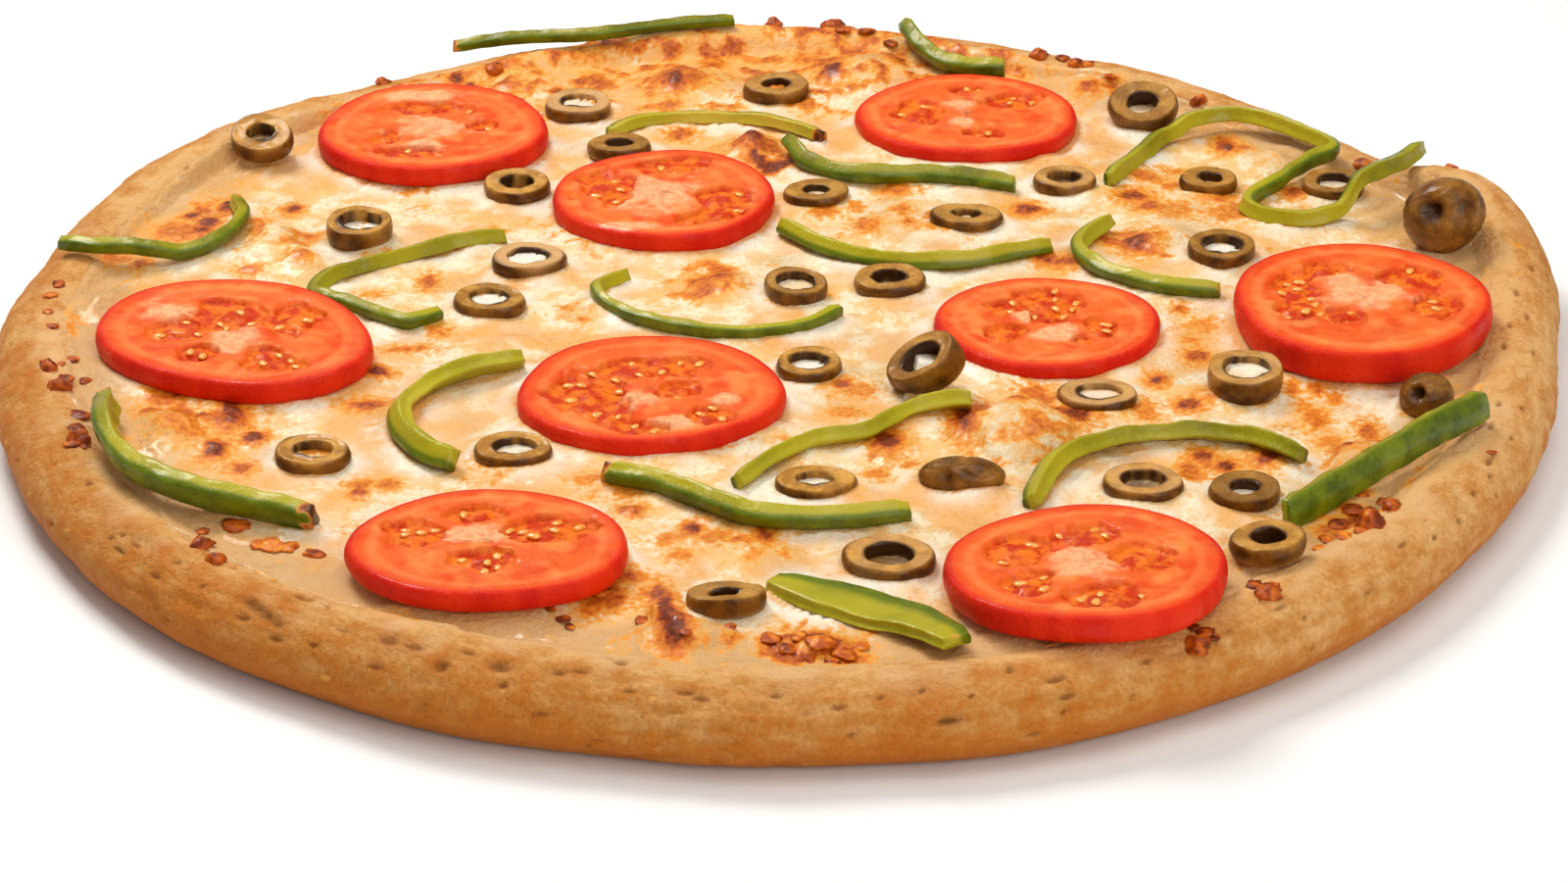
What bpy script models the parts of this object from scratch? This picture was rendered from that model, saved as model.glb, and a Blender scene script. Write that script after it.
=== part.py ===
"""A baked vegetarian pizza: a hand-stretched crust with a rounded rim, a bed of melted
cheese, tomato slices, strips of green pepper and rings of green olive.

The pizza lies flat. Its origin is on the underside at the middle, +Z is up, and -Y is
the side nearest to someone who sits in front of it. Lengths below are in millimetres,
and MM turns them into Blender's metres.
"""

import math

import bmesh
import bpy
from mathutils import Matrix, Vector, noise
from mathutils.bvhtree import BVHTree

MM = 0.001
GAP = 0.35  # air between a topping and what carries it

# Crust. The rim's section is given by how far each point lies inside the outline.
PIZZA_RADIUS = 168.0
RIM_HEIGHT = 17.2
FLOOR_HEIGHT = 8.5
CRUST_SEGMENTS = 84
RIM_SECTION = [  # (inside the outline, share of the rim's height)
    (9.0, 0.0),
    (3.4, 0.09),
    (0.6, 0.31),
    (0.0, 0.48),
    (1.2, 0.69),
    (4.2, 0.87),
    (8.4, 0.98),
    (12.4, 1.0),
    (16.2, 0.94),
]
RIM_FOOT_WIDTH = 22.5  # from the outline in to the flat floor under the cheese
RIM_SHOULDER_WIDTH = 19.5  # where the rim's inner slope steepens towards that floor
RIM_SHOULDER_HEIGHT = 13.4
OUTLINE_BULGES = [  # (angle, how far round it spreads, extra radius), where the dough was pulled out
    (13.0, 13.0, 11.0),
    (84.0, 12.0, 1.4),
]
RIM_FOLDS = [  # (angle, how far round it spreads, extra height), pinched up while shaping
    (17.5, 7.0, 9.0),
    (152.0, 13.0, 1.2),
    (97.0, 16.0, 2.2),
    (60.0, 12.0, 1.6),
    (250.0, 20.0, 0.8),
]

# Melted cheese.
CHEESE_RIM_GAP = 0.45
CHEESE_HEIGHT = 14.0
CHEESE_EDGE_INSIDE = 17.2  # where the cheese stops, measured in from the outline
CHEESE_EDGE_SHARE = 0.955  # its height there, as a share of the rim's
CHEESE_RINGS = 20
LUMP_CLEARANCE = 7.5  # lumps keep this far from a topping's edge
CHEESE_LUMPS = [  # (x, y, radius, height): pieces under the cheese, and its big bubbles
    (50.0, -59.0, 12.0, 5.0),
    (-15.0, -138.0, 10.0, 3.6),
    (121.0, -74.0, 10.0, 3.6),
    (-124.0, -57.0, 9.0, 2.6),
    (-113.0, 33.0, 9.0, 4.0),
    (-104.0, 25.0, 7.0, 2.6),
    (-4.0, 87.0, 9.5, 4.2),
    (-146.0, 2.0, 8.0, 3.2),
    (24.0, 134.0, 14.0, 5.0),
    (-22.0, 130.0, 12.0, 3.4),
    (-60.0, 132.0, 12.0, 2.6),
    (80.0, 128.0, 11.0, 3.0),
    (88.0, 36.0, 10.0, 2.4),
    (-7.0, 8.0, 9.0, 2.4),
    (118.0, 82.0, 11.0, 2.6),
    (32.0, 50.0, 12.0, 2.0),
    (-60.0, -18.0, 10.0, 1.6),
    (-8.0, -108.0, 10.0, 1.6),
]

# Crisp crumbs of browned cheese that are baked on to the rim: (angle, inside outline, size).
RIM_CRUMBS = [
    (22.7, 5.0, 3.6),
    (28.0, 15.0, 3.4),
    (47.7, 15.0, 3.2),
    (60.8, 13.5, 3.2),
    (64.9, 12.0, 3.8),
    (84.6, 9.0, 4.2),
    (90.0, 7.0, 3.8),
    (117.0, 15.0, 3.4),
    (127.0, 8.0, 3.2),
    (192.3, 12.8, 3.0),
    (195.5, 14.0, 3.6),
    (204.5, 13.5, 4.2),
    (224.6, 15.0, 3.4),
    (227.2, 13.5, 3.2),
    (298.5, 5.0, 4.0),
    (305.7, 10.0, 3.6),
    (319.4, 15.0, 4.6),
    (322.6, 15.0, 3.2),
]

# Tomato slices: (x, y, width, depth, thickness, turn).
TOMATOES = [
    (-80.7, 90.0, 56.0, 54.0, 4.4, 0.0),
    (47.0, 101.8, 55.0, 51.0, 3.4, 0.0),
    (-24.5, 52.6, 52.5, 51.5, 4.4, 0.0),
    (-114.0, -21.8, 65.0, 50.0, 4.6, 150.0),
    (59.0, -12.3, 50.0, 46.5, 3.4, 0.0),
    (124.8, -11.6, 56.5, 59.0, 6.4, 0.0),
    (-25.4, -45.6, 57.0, 51.0, 4.0, 0.0),
    (-53.0, -115.6, 55.5, 45.0, 4.0, 0.0),
    (59.5, -126.0, 55.0, 51.0, 5.0, 0.0),
]
TOMATO_SEGMENTS = 24
TOMATO_RIM_ROUNDING = 1.0
SEED_POCKET_DEPTH = 0.7

# Green pepper strips. Each follows a smooth curve through its route. The four numbers are
# the strip's height, the thickness of its wall, how far it has rolled over from standing,
# and 1 where the skin is on the right of the route, or -1 where it is on the left.
PEPPERS = [
    (3.0, 3.0, 25, 1, [(-80, 145), (-62, 148), (-44, 148), (-26, 154), (-10, 157)]),
    (5.0, 4.2, 30, 1, [(33, 153), (38, 141.5), (46, 133.5), (57, 131)]),
    (3.2, 3.4, 10, -1, [(-39, 96), (-31, 103), (-15, 105), (0, 101), (12, 92)]),
    (4.0, 4.2, 35, 1, [(3.5, 85.5), (9, 74.5), (21, 68.5), (39, 68), (56, 63)]),
    (
        4.2,
        3.2,
        15,
        -1,
        [
            *[(78, 66.5), (87, 82), (95, 92), (103, 97), (111, 98), (118, 94), (124, 88)],
            *[(129, 81.5), (130.5, 75.5), (123.5, 69.5), (116, 62.5), (109.5, 56), (108.5, 50)],
            *[(113, 45.5), (121, 44), (130, 47), (138, 54), (145.5, 61.5), (150, 68)],
        ],
    ),
    (3.2, 3.4, 20, 1, [(-158, 25), (-146, 22.5), (-132, 24), (-124, 31), (-120, 43), (-123, 55)]),
    (
        3.8,
        3.2,
        20,
        1,
        [
            *[(-60, 35), (-71, 31.5), (-81, 24.5), (-90, 18.5), (-97, 13), (-99.5, 5.5)],
            *[(-96, 2), (-87.5, -3.5), (-79.5, -10), (-75.5, -9), (-71.5, -5.5)],
        ],
    ),
    (3.6, 4.4, 55, 1, [(2, 39.5), (13, 27.8), (28, 20.8), (44, 21.8), (62, 29)]),
    (4.0, 3.8, 30, 1, [(76, 41.5), (68.5, 29), (72.5, 17), (84, 8), (97.5, 5)]),
    (
        3.4,
        2.6,
        15,
        1,
        [(-32, 15), (-38.2, 6.3), (-31.5, -5), (-19, -12), (-5, -14.8), (7.5, -11), (14.5, -3.2)],
    ),
    (
        4.0,
        5.6,
        50,
        1,
        [(-52, -30), (-62, -34), (-70, -41), (-75, -50), (-75, -60), (-70, -70), (-63, -75)],
    ),
    (
        6.4,
        4.4,
        20,
        1,
        [(-135, -54), (-132.5, -70), (-125, -84), (-112, -93), (-100, -96), (-88, -100)],
    ),
    (
        3.8,
        4.0,
        40,
        -1,
        [(-6.5, -83.5), (1, -72.5), (10, -65), (19, -62), (26, -54), (33, -50), (41, -50)],
    ),
    (4.6, 4.4, 30, 1, [(-33, -80), (-24, -83), (-15, -90), (-4, -98.5), (11, -99.5), (27, -96.5)]),
    (
        4.0,
        4.6,
        35,
        -1,
        [(50.8, -92.5), (54.5, -81), (61, -71.5), (72, -65.5), (86, -62.5), (97, -65.5), (106, -73.5)],
    ),
    (7.4, 2.8, -12, 1, [(99.5, -100), (113, -88), (128, -73), (144.5, -57.5)]),
    (2.6, 12.0, 4, -1, [(0.5, -122), (8, -126.5), (17, -131.5), (27, -140), (34, -149.5)]),
]
PEPPER_SECTIONS = 12
PEPPER_LONG_SECTIONS = 22
PEPPER_LONG_ROUTE = 10  # a route with this many points takes the longer count
PEPPER_END_SHARES = (0.62, 0.88, 1.0)  # how much of the full section the ends keep

# Olive pieces: (x, y, width, depth, height, hole, lean, leans towards). A hole of 0 is an
# end of the fruit, with a dome instead of a second cut.
OLIVES = [
    (-120.0, 81.4, 16.0, 15.0, 4.6, 6.0, 20.0, 270.0),
    (-47.0, 110.0, 18.4, 15.5, 4.0, 8.0, 3.0, 270.0),
    (1.0, 121.6, 17.0, 14.6, 3.8, 6.4, 4.0, 270.0),
    (89.0, 103.4, 17.2, 15.6, 4.8, 7.0, 28.0, 260.0),
    (-59.0, 61.2, 17.0, 15.0, 4.0, 7.0, 4.0, 250.0),
    (-93.0, 36.3, 16.8, 15.5, 5.4, 9.0, 5.0, 290.0),
    (-54.0, 21.5, 17.0, 15.5, 3.6, 8.6, 2.0, 270.0),
    (-61.0, 0.0, 16.6, 15.0, 3.4, 8.0, 3.0, 300.0),
    (-36.0, 85.0, 17.4, 14.5, 3.6, 6.0, 4.0, 90.0),
    (10.2, 60.0, 16.8, 13.6, 2.6, 5.4, 2.0, 180.0),
    (44.0, 45.8, 16.8, 14.0, 3.0, 6.0, 2.0, 0.0),
    (5.0, 6.4, 15.0, 14.0, 4.0, 8.0, 6.0, 290.0),
    (25.5, 10.6, 18.2, 13.8, 3.4, 7.4, 3.0, 250.0),
    (67.6, 66.5, 15.6, 14.0, 3.2, 7.0, 2.0, 270.0),
    (101.0, 65.0, 13.6, 12.0, 3.4, 5.0, 6.0, 270.0),
    (129.6, 62.2, 15.6, 13.0, 3.6, 7.0, 5.0, 270.0),
    (100.0, 26.5, 17.0, 15.0, 4.0, 8.6, 4.0, 270.0),
    (148.3, 30.0, 19.2, 18.4, 12.0, 0.0, 48.0, 230.0),
    (-91.8, -71.8, 15.6, 14.0, 3.4, 7.0, 4.0, 280.0),
    (-51.8, -68.8, 18.0, 13.4, 2.8, 8.0, 2.0, 270.0),
    (8.0, -31.4, 15.2, 13.4, 3.4, 7.6, 4.0, 270.0),
    (32.0, -40.0, 17.0, 15.0, 6.2, 8.6, 34.0, 205.0),
    (67.4, -44.1, 17.6, 13.6, 2.8, 8.8, 2.0, 270.0),
    (98.0, -39.8, 18.0, 16.0, 5.8, 8.8, 6.0, 250.0),
    (8.6, -82.2, 17.6, 12.0, 2.6, 6.6, 3.0, 270.0),
    (37.6, -80.0, 17.4, 10.4, 5.6, 0.0, 0.0, 0.0),
    (73.4, -83.2, 17.4, 13.8, 3.0, 8.2, 3.0, 280.0),
    (93.3, -87.2, 16.2, 13.0, 3.2, 5.6, 5.0, 260.0),
    (94.6, -113.0, 15.2, 14.4, 4.0, 6.2, 12.0, 292.0),
    (22.5, -114.3, 18.4, 16.2, 3.4, 9.0, 3.0, 280.0),
    (-8.4, -130.6, 17.0, 10.2, 4.0, 5.0, 5.0, 120.0),
    (134.0, -47.5, 12.8, 11.4, 6.6, 0.0, 6.0, 180.0),
]
OLIVE_SEGMENTS = 10
OLIVE_EDGE = 0.9  # rounding where the cut meets the skin
OLIVE_BULGE = 0.06  # how far the skin stands out past the cuts, as a share of the width
MOST_SLOPED_LEAN = 15.0  # a piece that leans more than this doesn't also take the ground's slope

RAY_HEIGHT = 0.2  # metres: above everything, to look down at the ground from
GRID_STEP = 1.5  # between the places where a piece's underside is compared with the ground

COLOURS = {  # base colour in linear light, roughness
    "crust": ((0.62, 0.36, 0.15), 0.75),
    "cheese": ((0.86, 0.70, 0.46), 0.45),
    "tomato": ((0.80, 0.12, 0.03), 0.30),
    "pepper": ((0.16, 0.32, 0.03), 0.30),
    "olive": ((0.20, 0.13, 0.04), 0.35),
}


def material(kind):
    """The plain surface of one kind of piece, made once and shared."""
    name = f"baked_{kind}"
    if name in bpy.data.materials:
        return bpy.data.materials[name]
    made = bpy.data.materials.new(name)
    made.use_nodes = True
    colour, roughness = COLOURS[kind]
    shader = made.node_tree.nodes["Principled BSDF"]
    shader.inputs["Base Color"].default_value = (*colour, 1.0)
    shader.inputs["Roughness"].default_value = roughness
    shader.inputs["Metallic"].default_value = 0.0
    return made


def object_from(name, points, faces, kind, smooth_angle=40.0):
    """A mesh object from points in millimetres, with its normals facing out."""
    mesh = bpy.data.meshes.new(name)
    mesh.from_pydata([tuple(c * MM for c in p) for p in points], [], faces)
    body = bmesh.new()
    body.from_mesh(mesh)
    bmesh.ops.recalc_face_normals(body, faces=body.faces)
    body.to_mesh(mesh)
    body.free()
    mesh.shade_smooth()
    mesh.set_sharp_from_angle(angle=math.radians(smooth_angle))
    made = bpy.data.objects.new(name, mesh)
    made.data.materials.append(material(kind))
    bpy.context.scene.collection.objects.link(made)
    return made


def ring_faces(lower, upper, count):
    """Quads between two closed rings of points that start at these indexes."""
    return [(lower + i, lower + (i + 1) % count, upper + (i + 1) % count, upper + i) for i in range(count)]


def stacked_rings(rings, close_first=True, close_last=True):
    """Points and faces of a skin through rings of equal length, with a fan over each end."""
    count = len(rings[0])
    points = [p for ring in rings for p in ring]
    faces = []
    for row in range(len(rings) - 1):
        faces += ring_faces(row * count, (row + 1) * count, count)
    for closed, row in ((close_first, 0), (close_last, len(rings) - 1)):
        if closed:
            middle = sum((Vector(p) for p in rings[row]), Vector()) / count
            points.append(tuple(middle))
            hub = len(points) - 1
            faces += [(row * count + i, row * count + (i + 1) % count, hub) for i in range(count)]
    return points, faces


def angle_apart(a, b):
    """The smaller angle between two directions, in degrees."""
    return abs((a - b + 180.0) % 360.0 - 180.0)


def wander(angle, step, seed):
    """A smooth value from about -1 to 1 that changes round the pizza and closes on itself."""
    turn = math.radians(angle)
    return noise.noise(Vector((math.cos(turn) * step, math.sin(turn) * step, seed)))


def outline_radius(angle):
    """Distance from the middle to the crust's outermost line."""
    radius = PIZZA_RADIUS + 2.6 * wander(angle, 1.6, 3.1) + 1.3 * wander(angle, 4.5, 8.7)
    for where, spread, extra in OUTLINE_BULGES:
        radius += extra * math.exp(-((angle_apart(angle, where) / spread) ** 2))
    return radius


def rim_height(angle):
    """Height of the rim's crest, with the folds that the baker pinched up."""
    height = RIM_HEIGHT + 1.3 * wander(angle, 2.4, 12.3) + 0.7 * wander(angle, 7.0, 21.4)
    for where, spread, extra in RIM_FOLDS:
        height += extra * math.exp(-((angle_apart(angle, where) / spread) ** 2))
    return height


def on_outline(angle, inside, height):
    """A point at this angle, this far inside the outline."""
    radius = outline_radius(angle) - inside
    turn = math.radians(angle)
    return (radius * math.cos(turn), radius * math.sin(turn), height)


def middle_of_outline():
    """The middle of the outline's box, which becomes the pizza's origin."""
    around = [on_outline(360.0 * i / CRUST_SEGMENTS, 0.0, 0.0) for i in range(CRUST_SEGMENTS)]
    xs = [x for x, _, _ in around]
    ys = [y for _, y, _ in around]
    return Vector(((min(xs) + max(xs)) / 2, (min(ys) + max(ys)) / 2, 0.0))


def rim_surface(angle, inside):
    """Height of the rim's surface at this angle, this far inside the outline."""
    for (near, low), (far, high) in zip(RIM_SECTION[3:], RIM_SECTION[4:]):
        if inside <= far:
            return rim_height(angle) * (low + (high - low) * (inside - near) / (far - near))
    return rim_height(angle) * RIM_SECTION[-1][1]


def make_crumbs():
    """Small lumpy crumbs that sink into the rim, ready to be fused to it."""
    gathered = bpy.data.collections.new("rim_crumbs")
    for number, (angle, inside, size) in enumerate(RIM_CRUMBS):
        body = bmesh.new()
        bmesh.ops.create_icosphere(body, subdivisions=1, radius=size * MM / 2)
        for v in body.verts:
            v.co *= 1.0 + 0.35 * noise.noise(v.co / MM * 0.9 + Vector((number * 7.0, 0.0, 0.0)))
            v.co.z *= 0.75
        mesh = bpy.data.meshes.new(f"crumb_{number}")
        body.to_mesh(mesh)
        body.free()
        crumb = bpy.data.objects.new(f"crumb_{number}", mesh)
        x, y, z = on_outline(angle, inside, rim_surface(angle, inside))
        crumb.location = (x * MM, y * MM, z * MM)
        crumb.rotation_euler = (0.0, 0.0, number * 1.3)
        gathered.objects.link(crumb)
    return gathered


def make_crust():
    """The baked dough: a flat underside, a rounded rim and a dished top, with crumbs fused on."""
    angles = [360.0 * i / CRUST_SEGMENTS for i in range(CRUST_SEGMENTS)]
    rings = [[on_outline(a, inside, share * rim_height(a)) for a in angles] for inside, share in RIM_SECTION]
    rings.append([on_outline(a, RIM_SHOULDER_WIDTH, RIM_SHOULDER_HEIGHT) for a in angles])
    rings.append([on_outline(a, RIM_FOOT_WIDTH, FLOOR_HEIGHT) for a in angles])
    crust = object_from("crust", *stacked_rings(rings), "crust", smooth_angle=60.0)
    crumbs = make_crumbs()
    bpy.context.scene.collection.children.link(crumbs)
    union = crust.modifiers.new("crumbs", "BOOLEAN")
    union.operation = "UNION"
    union.operand_type = "COLLECTION"
    union.collection = crumbs
    union.solver = "EXACT"
    bpy.context.view_layer.update()
    fused = bpy.data.meshes.new_from_object(crust.evaluated_get(bpy.context.evaluated_depsgraph_get()))
    crust.modifiers.clear()
    crust.data = fused
    crust.data.name = "crust"
    for crumb in list(crumbs.objects):
        bpy.data.objects.remove(crumb)
    bpy.data.collections.remove(crumbs)
    return crust


def route_points(route, count):
    """A smooth curve through the route's points, in even steps of its parameter."""
    knots = [Vector((x, y, 0.0)) for x, y in route]
    knots = [knots[0] * 2 - knots[1]] + knots + [knots[-1] * 2 - knots[-2]]
    spans = len(route) - 1
    made = []
    for i in range(count):
        place = spans * i / (count - 1)
        span = min(int(place), spans - 1)
        t = place - span
        a, b, c, d = knots[span : span + 4]
        squared = (2 * a - 5 * b + 4 * c - d) * t**2
        cubed = (3 * b - a - 3 * c + d) * t**3
        made.append(0.5 * (2 * b + (c - a) * t + squared + cubed))
    return made


def distance_to_toppings(x, y):
    """How far a point lies from the nearest topping's footprint, seen from above."""
    here = Vector((x, y, 0.0))
    nearest = 1e9
    for tx, ty, width, depth, *_ in TOMATOES:
        nearest = min(nearest, (here - Vector((tx, ty, 0.0))).length - max(width, depth) / 2)
    for ox, oy, width, *_ in OLIVES:
        nearest = min(nearest, (here - Vector((ox, oy, 0.0))).length - width / 2)
    for strip_height, wall, _, _, route in PEPPERS:
        reach = max(wall, strip_height) / 2
        for p in route_points(route, PEPPER_SECTIONS):
            nearest = min(nearest, (here - p).length - reach)
    return nearest


def cheese_height(x, y):
    """Height of the melted cheese, which swells over what it covers and lies level under toppings."""
    rise = 0.5 * noise.noise(Vector((x / 16.0, y / 16.0, 5.0)))
    for lx, ly, radius, height in CHEESE_LUMPS:
        away = math.hypot(x - lx, y - ly) / radius
        rise += height * math.exp(-(away**2) * 1.4)
    clear = min(1.0, max(0.0, distance_to_toppings(x, y) / LUMP_CLEARANCE))
    return CHEESE_HEIGHT + max(0.0, rise) * clear * clear * (3 - 2 * clear)


def make_cheese():
    """The melted cheese, which fills the crust's dish up to the rim's inner slope."""
    points = []
    starts = []
    for ring in range(CHEESE_RINGS + 1):
        count = max(1, 6 * ring)
        starts.append(len(points))
        for i in range(count):
            angle = 360.0 * i / count
            radius = (outline_radius(angle) - CHEESE_EDGE_INSIDE) * ring / CHEESE_RINGS
            x = radius * math.cos(math.radians(angle))
            y = radius * math.sin(math.radians(angle))
            height = cheese_height(x, y)
            if ring == CHEESE_RINGS:
                height = CHEESE_EDGE_SHARE * rim_height(angle)
            points.append((x, y, height))
    faces = []
    for ring in range(1, CHEESE_RINGS + 1):
        inner, outer = 6 * (ring - 1), 6 * ring
        for side in range(6):
            for step in range(ring):
                a = starts[ring] + (side * ring + step) % outer
                b = starts[ring] + (side * ring + step + 1) % outer
                c = starts[ring - 1] + ((side * (ring - 1) + step) % inner if inner else 0)
                faces.append((a, b, c))
                if step < ring - 1:
                    d = starts[ring - 1] + (side * (ring - 1) + step + 1) % inner
                    faces.append((b, d, c))
    rim = 6 * CHEESE_RINGS
    edge = starts[CHEESE_RINGS]
    angles = [360.0 * i / rim for i in range(rim)]
    for inside, height in (
        (RIM_SHOULDER_WIDTH + CHEESE_RIM_GAP, RIM_SHOULDER_HEIGHT),
        (RIM_FOOT_WIDTH + CHEESE_RIM_GAP, FLOOR_HEIGHT + GAP),
    ):
        start = len(points)
        points += [on_outline(a, inside, height) for a in angles]
        faces += ring_faces(edge, start, rim)
        edge = start
    points.append((0.0, 0.0, FLOOR_HEIGHT + GAP))
    faces += [(edge + i, edge + (i + 1) % rim, len(points) - 1) for i in range(rim)]
    return object_from("cheese", points, faces, "cheese", smooth_angle=70.0)


class Ground:
    """What is already laid down, which the next topping rests on."""

    def __init__(self, *objects):
        self.trees = [self.tree_of(o) for o in objects]

    @staticmethod
    def tree_of(obj):
        corners = [obj.matrix_world @ v.co for v in obj.data.vertices]
        return BVHTree.FromPolygons(corners, [tuple(p.vertices) for p in obj.data.polygons])

    def height(self, x, y):
        """Height in millimetres of the ground's top at this place."""
        top = 0.0
        start = Vector((x * MM, y * MM, RAY_HEIGHT))
        for tree in self.trees:
            hit = tree.ray_cast(start, Vector((0.0, 0.0, -1.0)))[0]
            if hit is not None:
                top = max(top, hit.z / MM)
        return top

    def seat(self, x, y, radius):
        """The plane that the ground under a round footprint holds up: its height and its two slopes."""
        steps = [(radius * share, math.tau * i / 10) for share in (0.35, 0.7, 1.0) for i in range(10)]
        places = [(r * math.cos(a), r * math.sin(a)) for r, a in steps]
        heights = [self.height(x + dx, y + dy) for dx, dy in places]
        middle = sum(heights) / len(heights)
        rises = [h - middle for h in heights]
        slope_x = sum(dx * rise for (dx, _), rise in zip(places, rises)) / sum(dx * dx for dx, _ in places)
        slope_y = sum(dy * rise for (_, dy), rise in zip(places, rises)) / sum(dy * dy for _, dy in places)
        return middle, slope_x, slope_y


def lay_down(obj, ground):
    """Raises or lowers a piece until it clears the ground by GAP."""
    clearance = 1e9
    bpy.context.view_layer.update()
    corners = [obj.matrix_world @ v.co for v in obj.data.vertices]
    samples = list(corners)
    for polygon in obj.data.polygons:
        samples.append(obj.matrix_world @ polygon.center)
        for a, b in zip(polygon.vertices, list(polygon.vertices)[1:] + [polygon.vertices[0]]):
            samples.append((corners[a] + corners[b]) / 2)
    for p in samples:
        clearance = min(clearance, p.z / MM - ground.height(p.x / MM, p.y / MM))
    piece = Ground.tree_of(obj)
    for tree_vertex in ground_vertices(obj, ground):
        hit = piece.ray_cast(tree_vertex - Vector((0.0, 0.0, 0.1)), Vector((0.0, 0.0, 1.0)))[0]
        if hit is not None:
            clearance = min(clearance, (hit.z - tree_vertex.z) / MM)
    obj.location.z += (GAP - clearance) * MM


def ground_vertices(obj, ground):
    """Places on a close grid over the piece's box, at the ground's height."""
    box = [obj.matrix_world @ Vector(c) for c in obj.bound_box]
    low_x, high_x = min(c.x for c in box) / MM, max(c.x for c in box) / MM
    low_y, high_y = min(c.y for c in box) / MM, max(c.y for c in box) / MM
    for i in range(int((high_x - low_x) / GRID_STEP) + 1):
        for j in range(int((high_y - low_y) / GRID_STEP) + 1):
            x, y = low_x + i * GRID_STEP, low_y + j * GRID_STEP
            yield Vector((x * MM, y * MM, ground.height(x, y) * MM))


def slope_turn(slope_x, slope_y):
    """The rotation that lays a level piece on ground with these slopes."""
    up = Vector((-slope_x, -slope_y, 1.0)).normalized()
    return Vector((0.0, 0.0, 1.0)).rotation_difference(up).to_matrix().to_4x4()


def make_tomato(number, place, ground):
    """A round slice with a rounded skin edge and shallow seed pockets in its upper cut."""
    x, y, width, depth, thickness, turn = place
    section = [  # (share of the radius, taken in, height, how much a pocket sinks it)
        (1.0, TOMATO_RIM_ROUNDING, 0.0, 0.0),
        (1.0, 0.0, thickness * 0.5, 0.0),
        (1.0, TOMATO_RIM_ROUNDING * 0.8, thickness, 0.0),
        (0.80, 0.0, thickness + 0.1, 0.0),
        (0.52, 0.0, thickness, 1.0),
        (0.24, 0.0, thickness + 0.1, 0.0),
    ]
    rings = []
    for share, taken_in, height, pocket in section:
        ring = []
        for i in range(TOMATO_SEGMENTS):
            a = math.tau * i / TOMATO_SEGMENTS
            uneven = 1.0 + 0.02 * math.cos(3 * a + number) + 0.012 * math.cos(5 * a + 2.0 * number)
            sink = SEED_POCKET_DEPTH * pocket * (0.5 + 0.5 * math.cos(3 * a))
            reach_x = (width / 2 - taken_in) * share * uneven
            reach_y = (depth / 2 - taken_in) * share * uneven
            ring.append((reach_x * math.cos(a), reach_y * math.sin(a), height - sink))
        rings.append(ring)
    slice_ = object_from(f"tomato_slice_{number}", *stacked_rings(rings), "tomato")
    height, slope_x, slope_y = ground.seat(x, y, min(width, depth) / 2)
    place = Matrix.Translation((x * MM, y * MM, height * MM))
    slice_.matrix_world = place @ slope_turn(slope_x, slope_y) @ Matrix.Rotation(math.radians(turn), 4, "Z")
    lay_down(slice_, ground)
    return slice_


def pepper_profile(wall, height, roll, skin):
    """The strip's cut section across its run: a bulging skin side and a flat flesh side."""
    corners = [
        (-0.5 * wall, 0.06 * height),
        (0.5 * wall, 0.0),
        (0.5 * wall + 0.08 * height, 0.5 * height),
        (0.46 * wall, 0.96 * height),
        (-0.44 * wall, height),
        (-0.40 * wall, 0.5 * height),
    ]
    cosine, sine = math.cos(math.radians(roll)), math.sin(math.radians(roll))
    rolled = [(a * cosine + b * sine, -a * sine + b * cosine) for a, b in corners]
    lowest = min(b for _, b in rolled)
    middle = (min(a for a, _ in rolled) + max(a for a, _ in rolled)) / 2
    return [((a - middle) * skin, b - lowest) for a, b in rolled]


def make_pepper(number, strip, ground):
    """A strip of green pepper that follows its route and lies on the ground all along."""
    height, wall, roll, skin, route = strip
    count = PEPPER_LONG_SECTIONS if len(route) >= PEPPER_LONG_ROUTE else PEPPER_SECTIONS
    line = route_points(route, count)
    profile = pepper_profile(wall, height, roll, skin)
    half = max(abs(a) for a, _ in profile) + 1.0
    sections = []
    bases = []
    for i, p in enumerate(line):
        ahead = line[min(i + 1, count - 1)] - line[max(i - 1, 0)]
        ahead.normalize()
        across = Vector((ahead.y, -ahead.x, 0.0))
        reach = (line[min(i + 1, count - 1)] - line[max(i - 1, 0)]).length / 2
        shares = (-1, -0.5, 0, 0.5, 1)
        spots = [p + across * half * s + ahead * reach * t for s in shares for t in shares]
        bases.append(max(ground.height(s.x, s.y) for s in spots))
        end = min(i, count - 1 - i)
        narrow = PEPPER_END_SHARES[min(end, 2)]
        sections.append((p, across, narrow))
    rings = []
    for i, (p, across, narrow) in enumerate(sections):
        base = max(bases[max(i - 1, 0) : i + 2])
        ring = []
        for a, b in profile:
            up = base + GAP + b * (0.5 + 0.5 * narrow)
            ring.append(tuple(p + across * a * narrow + Vector((0.0, 0.0, up))))
        rings.append(ring)
    return object_from(f"pepper_strip_{number:02d}", *stacked_rings(rings), "pepper")


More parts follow.
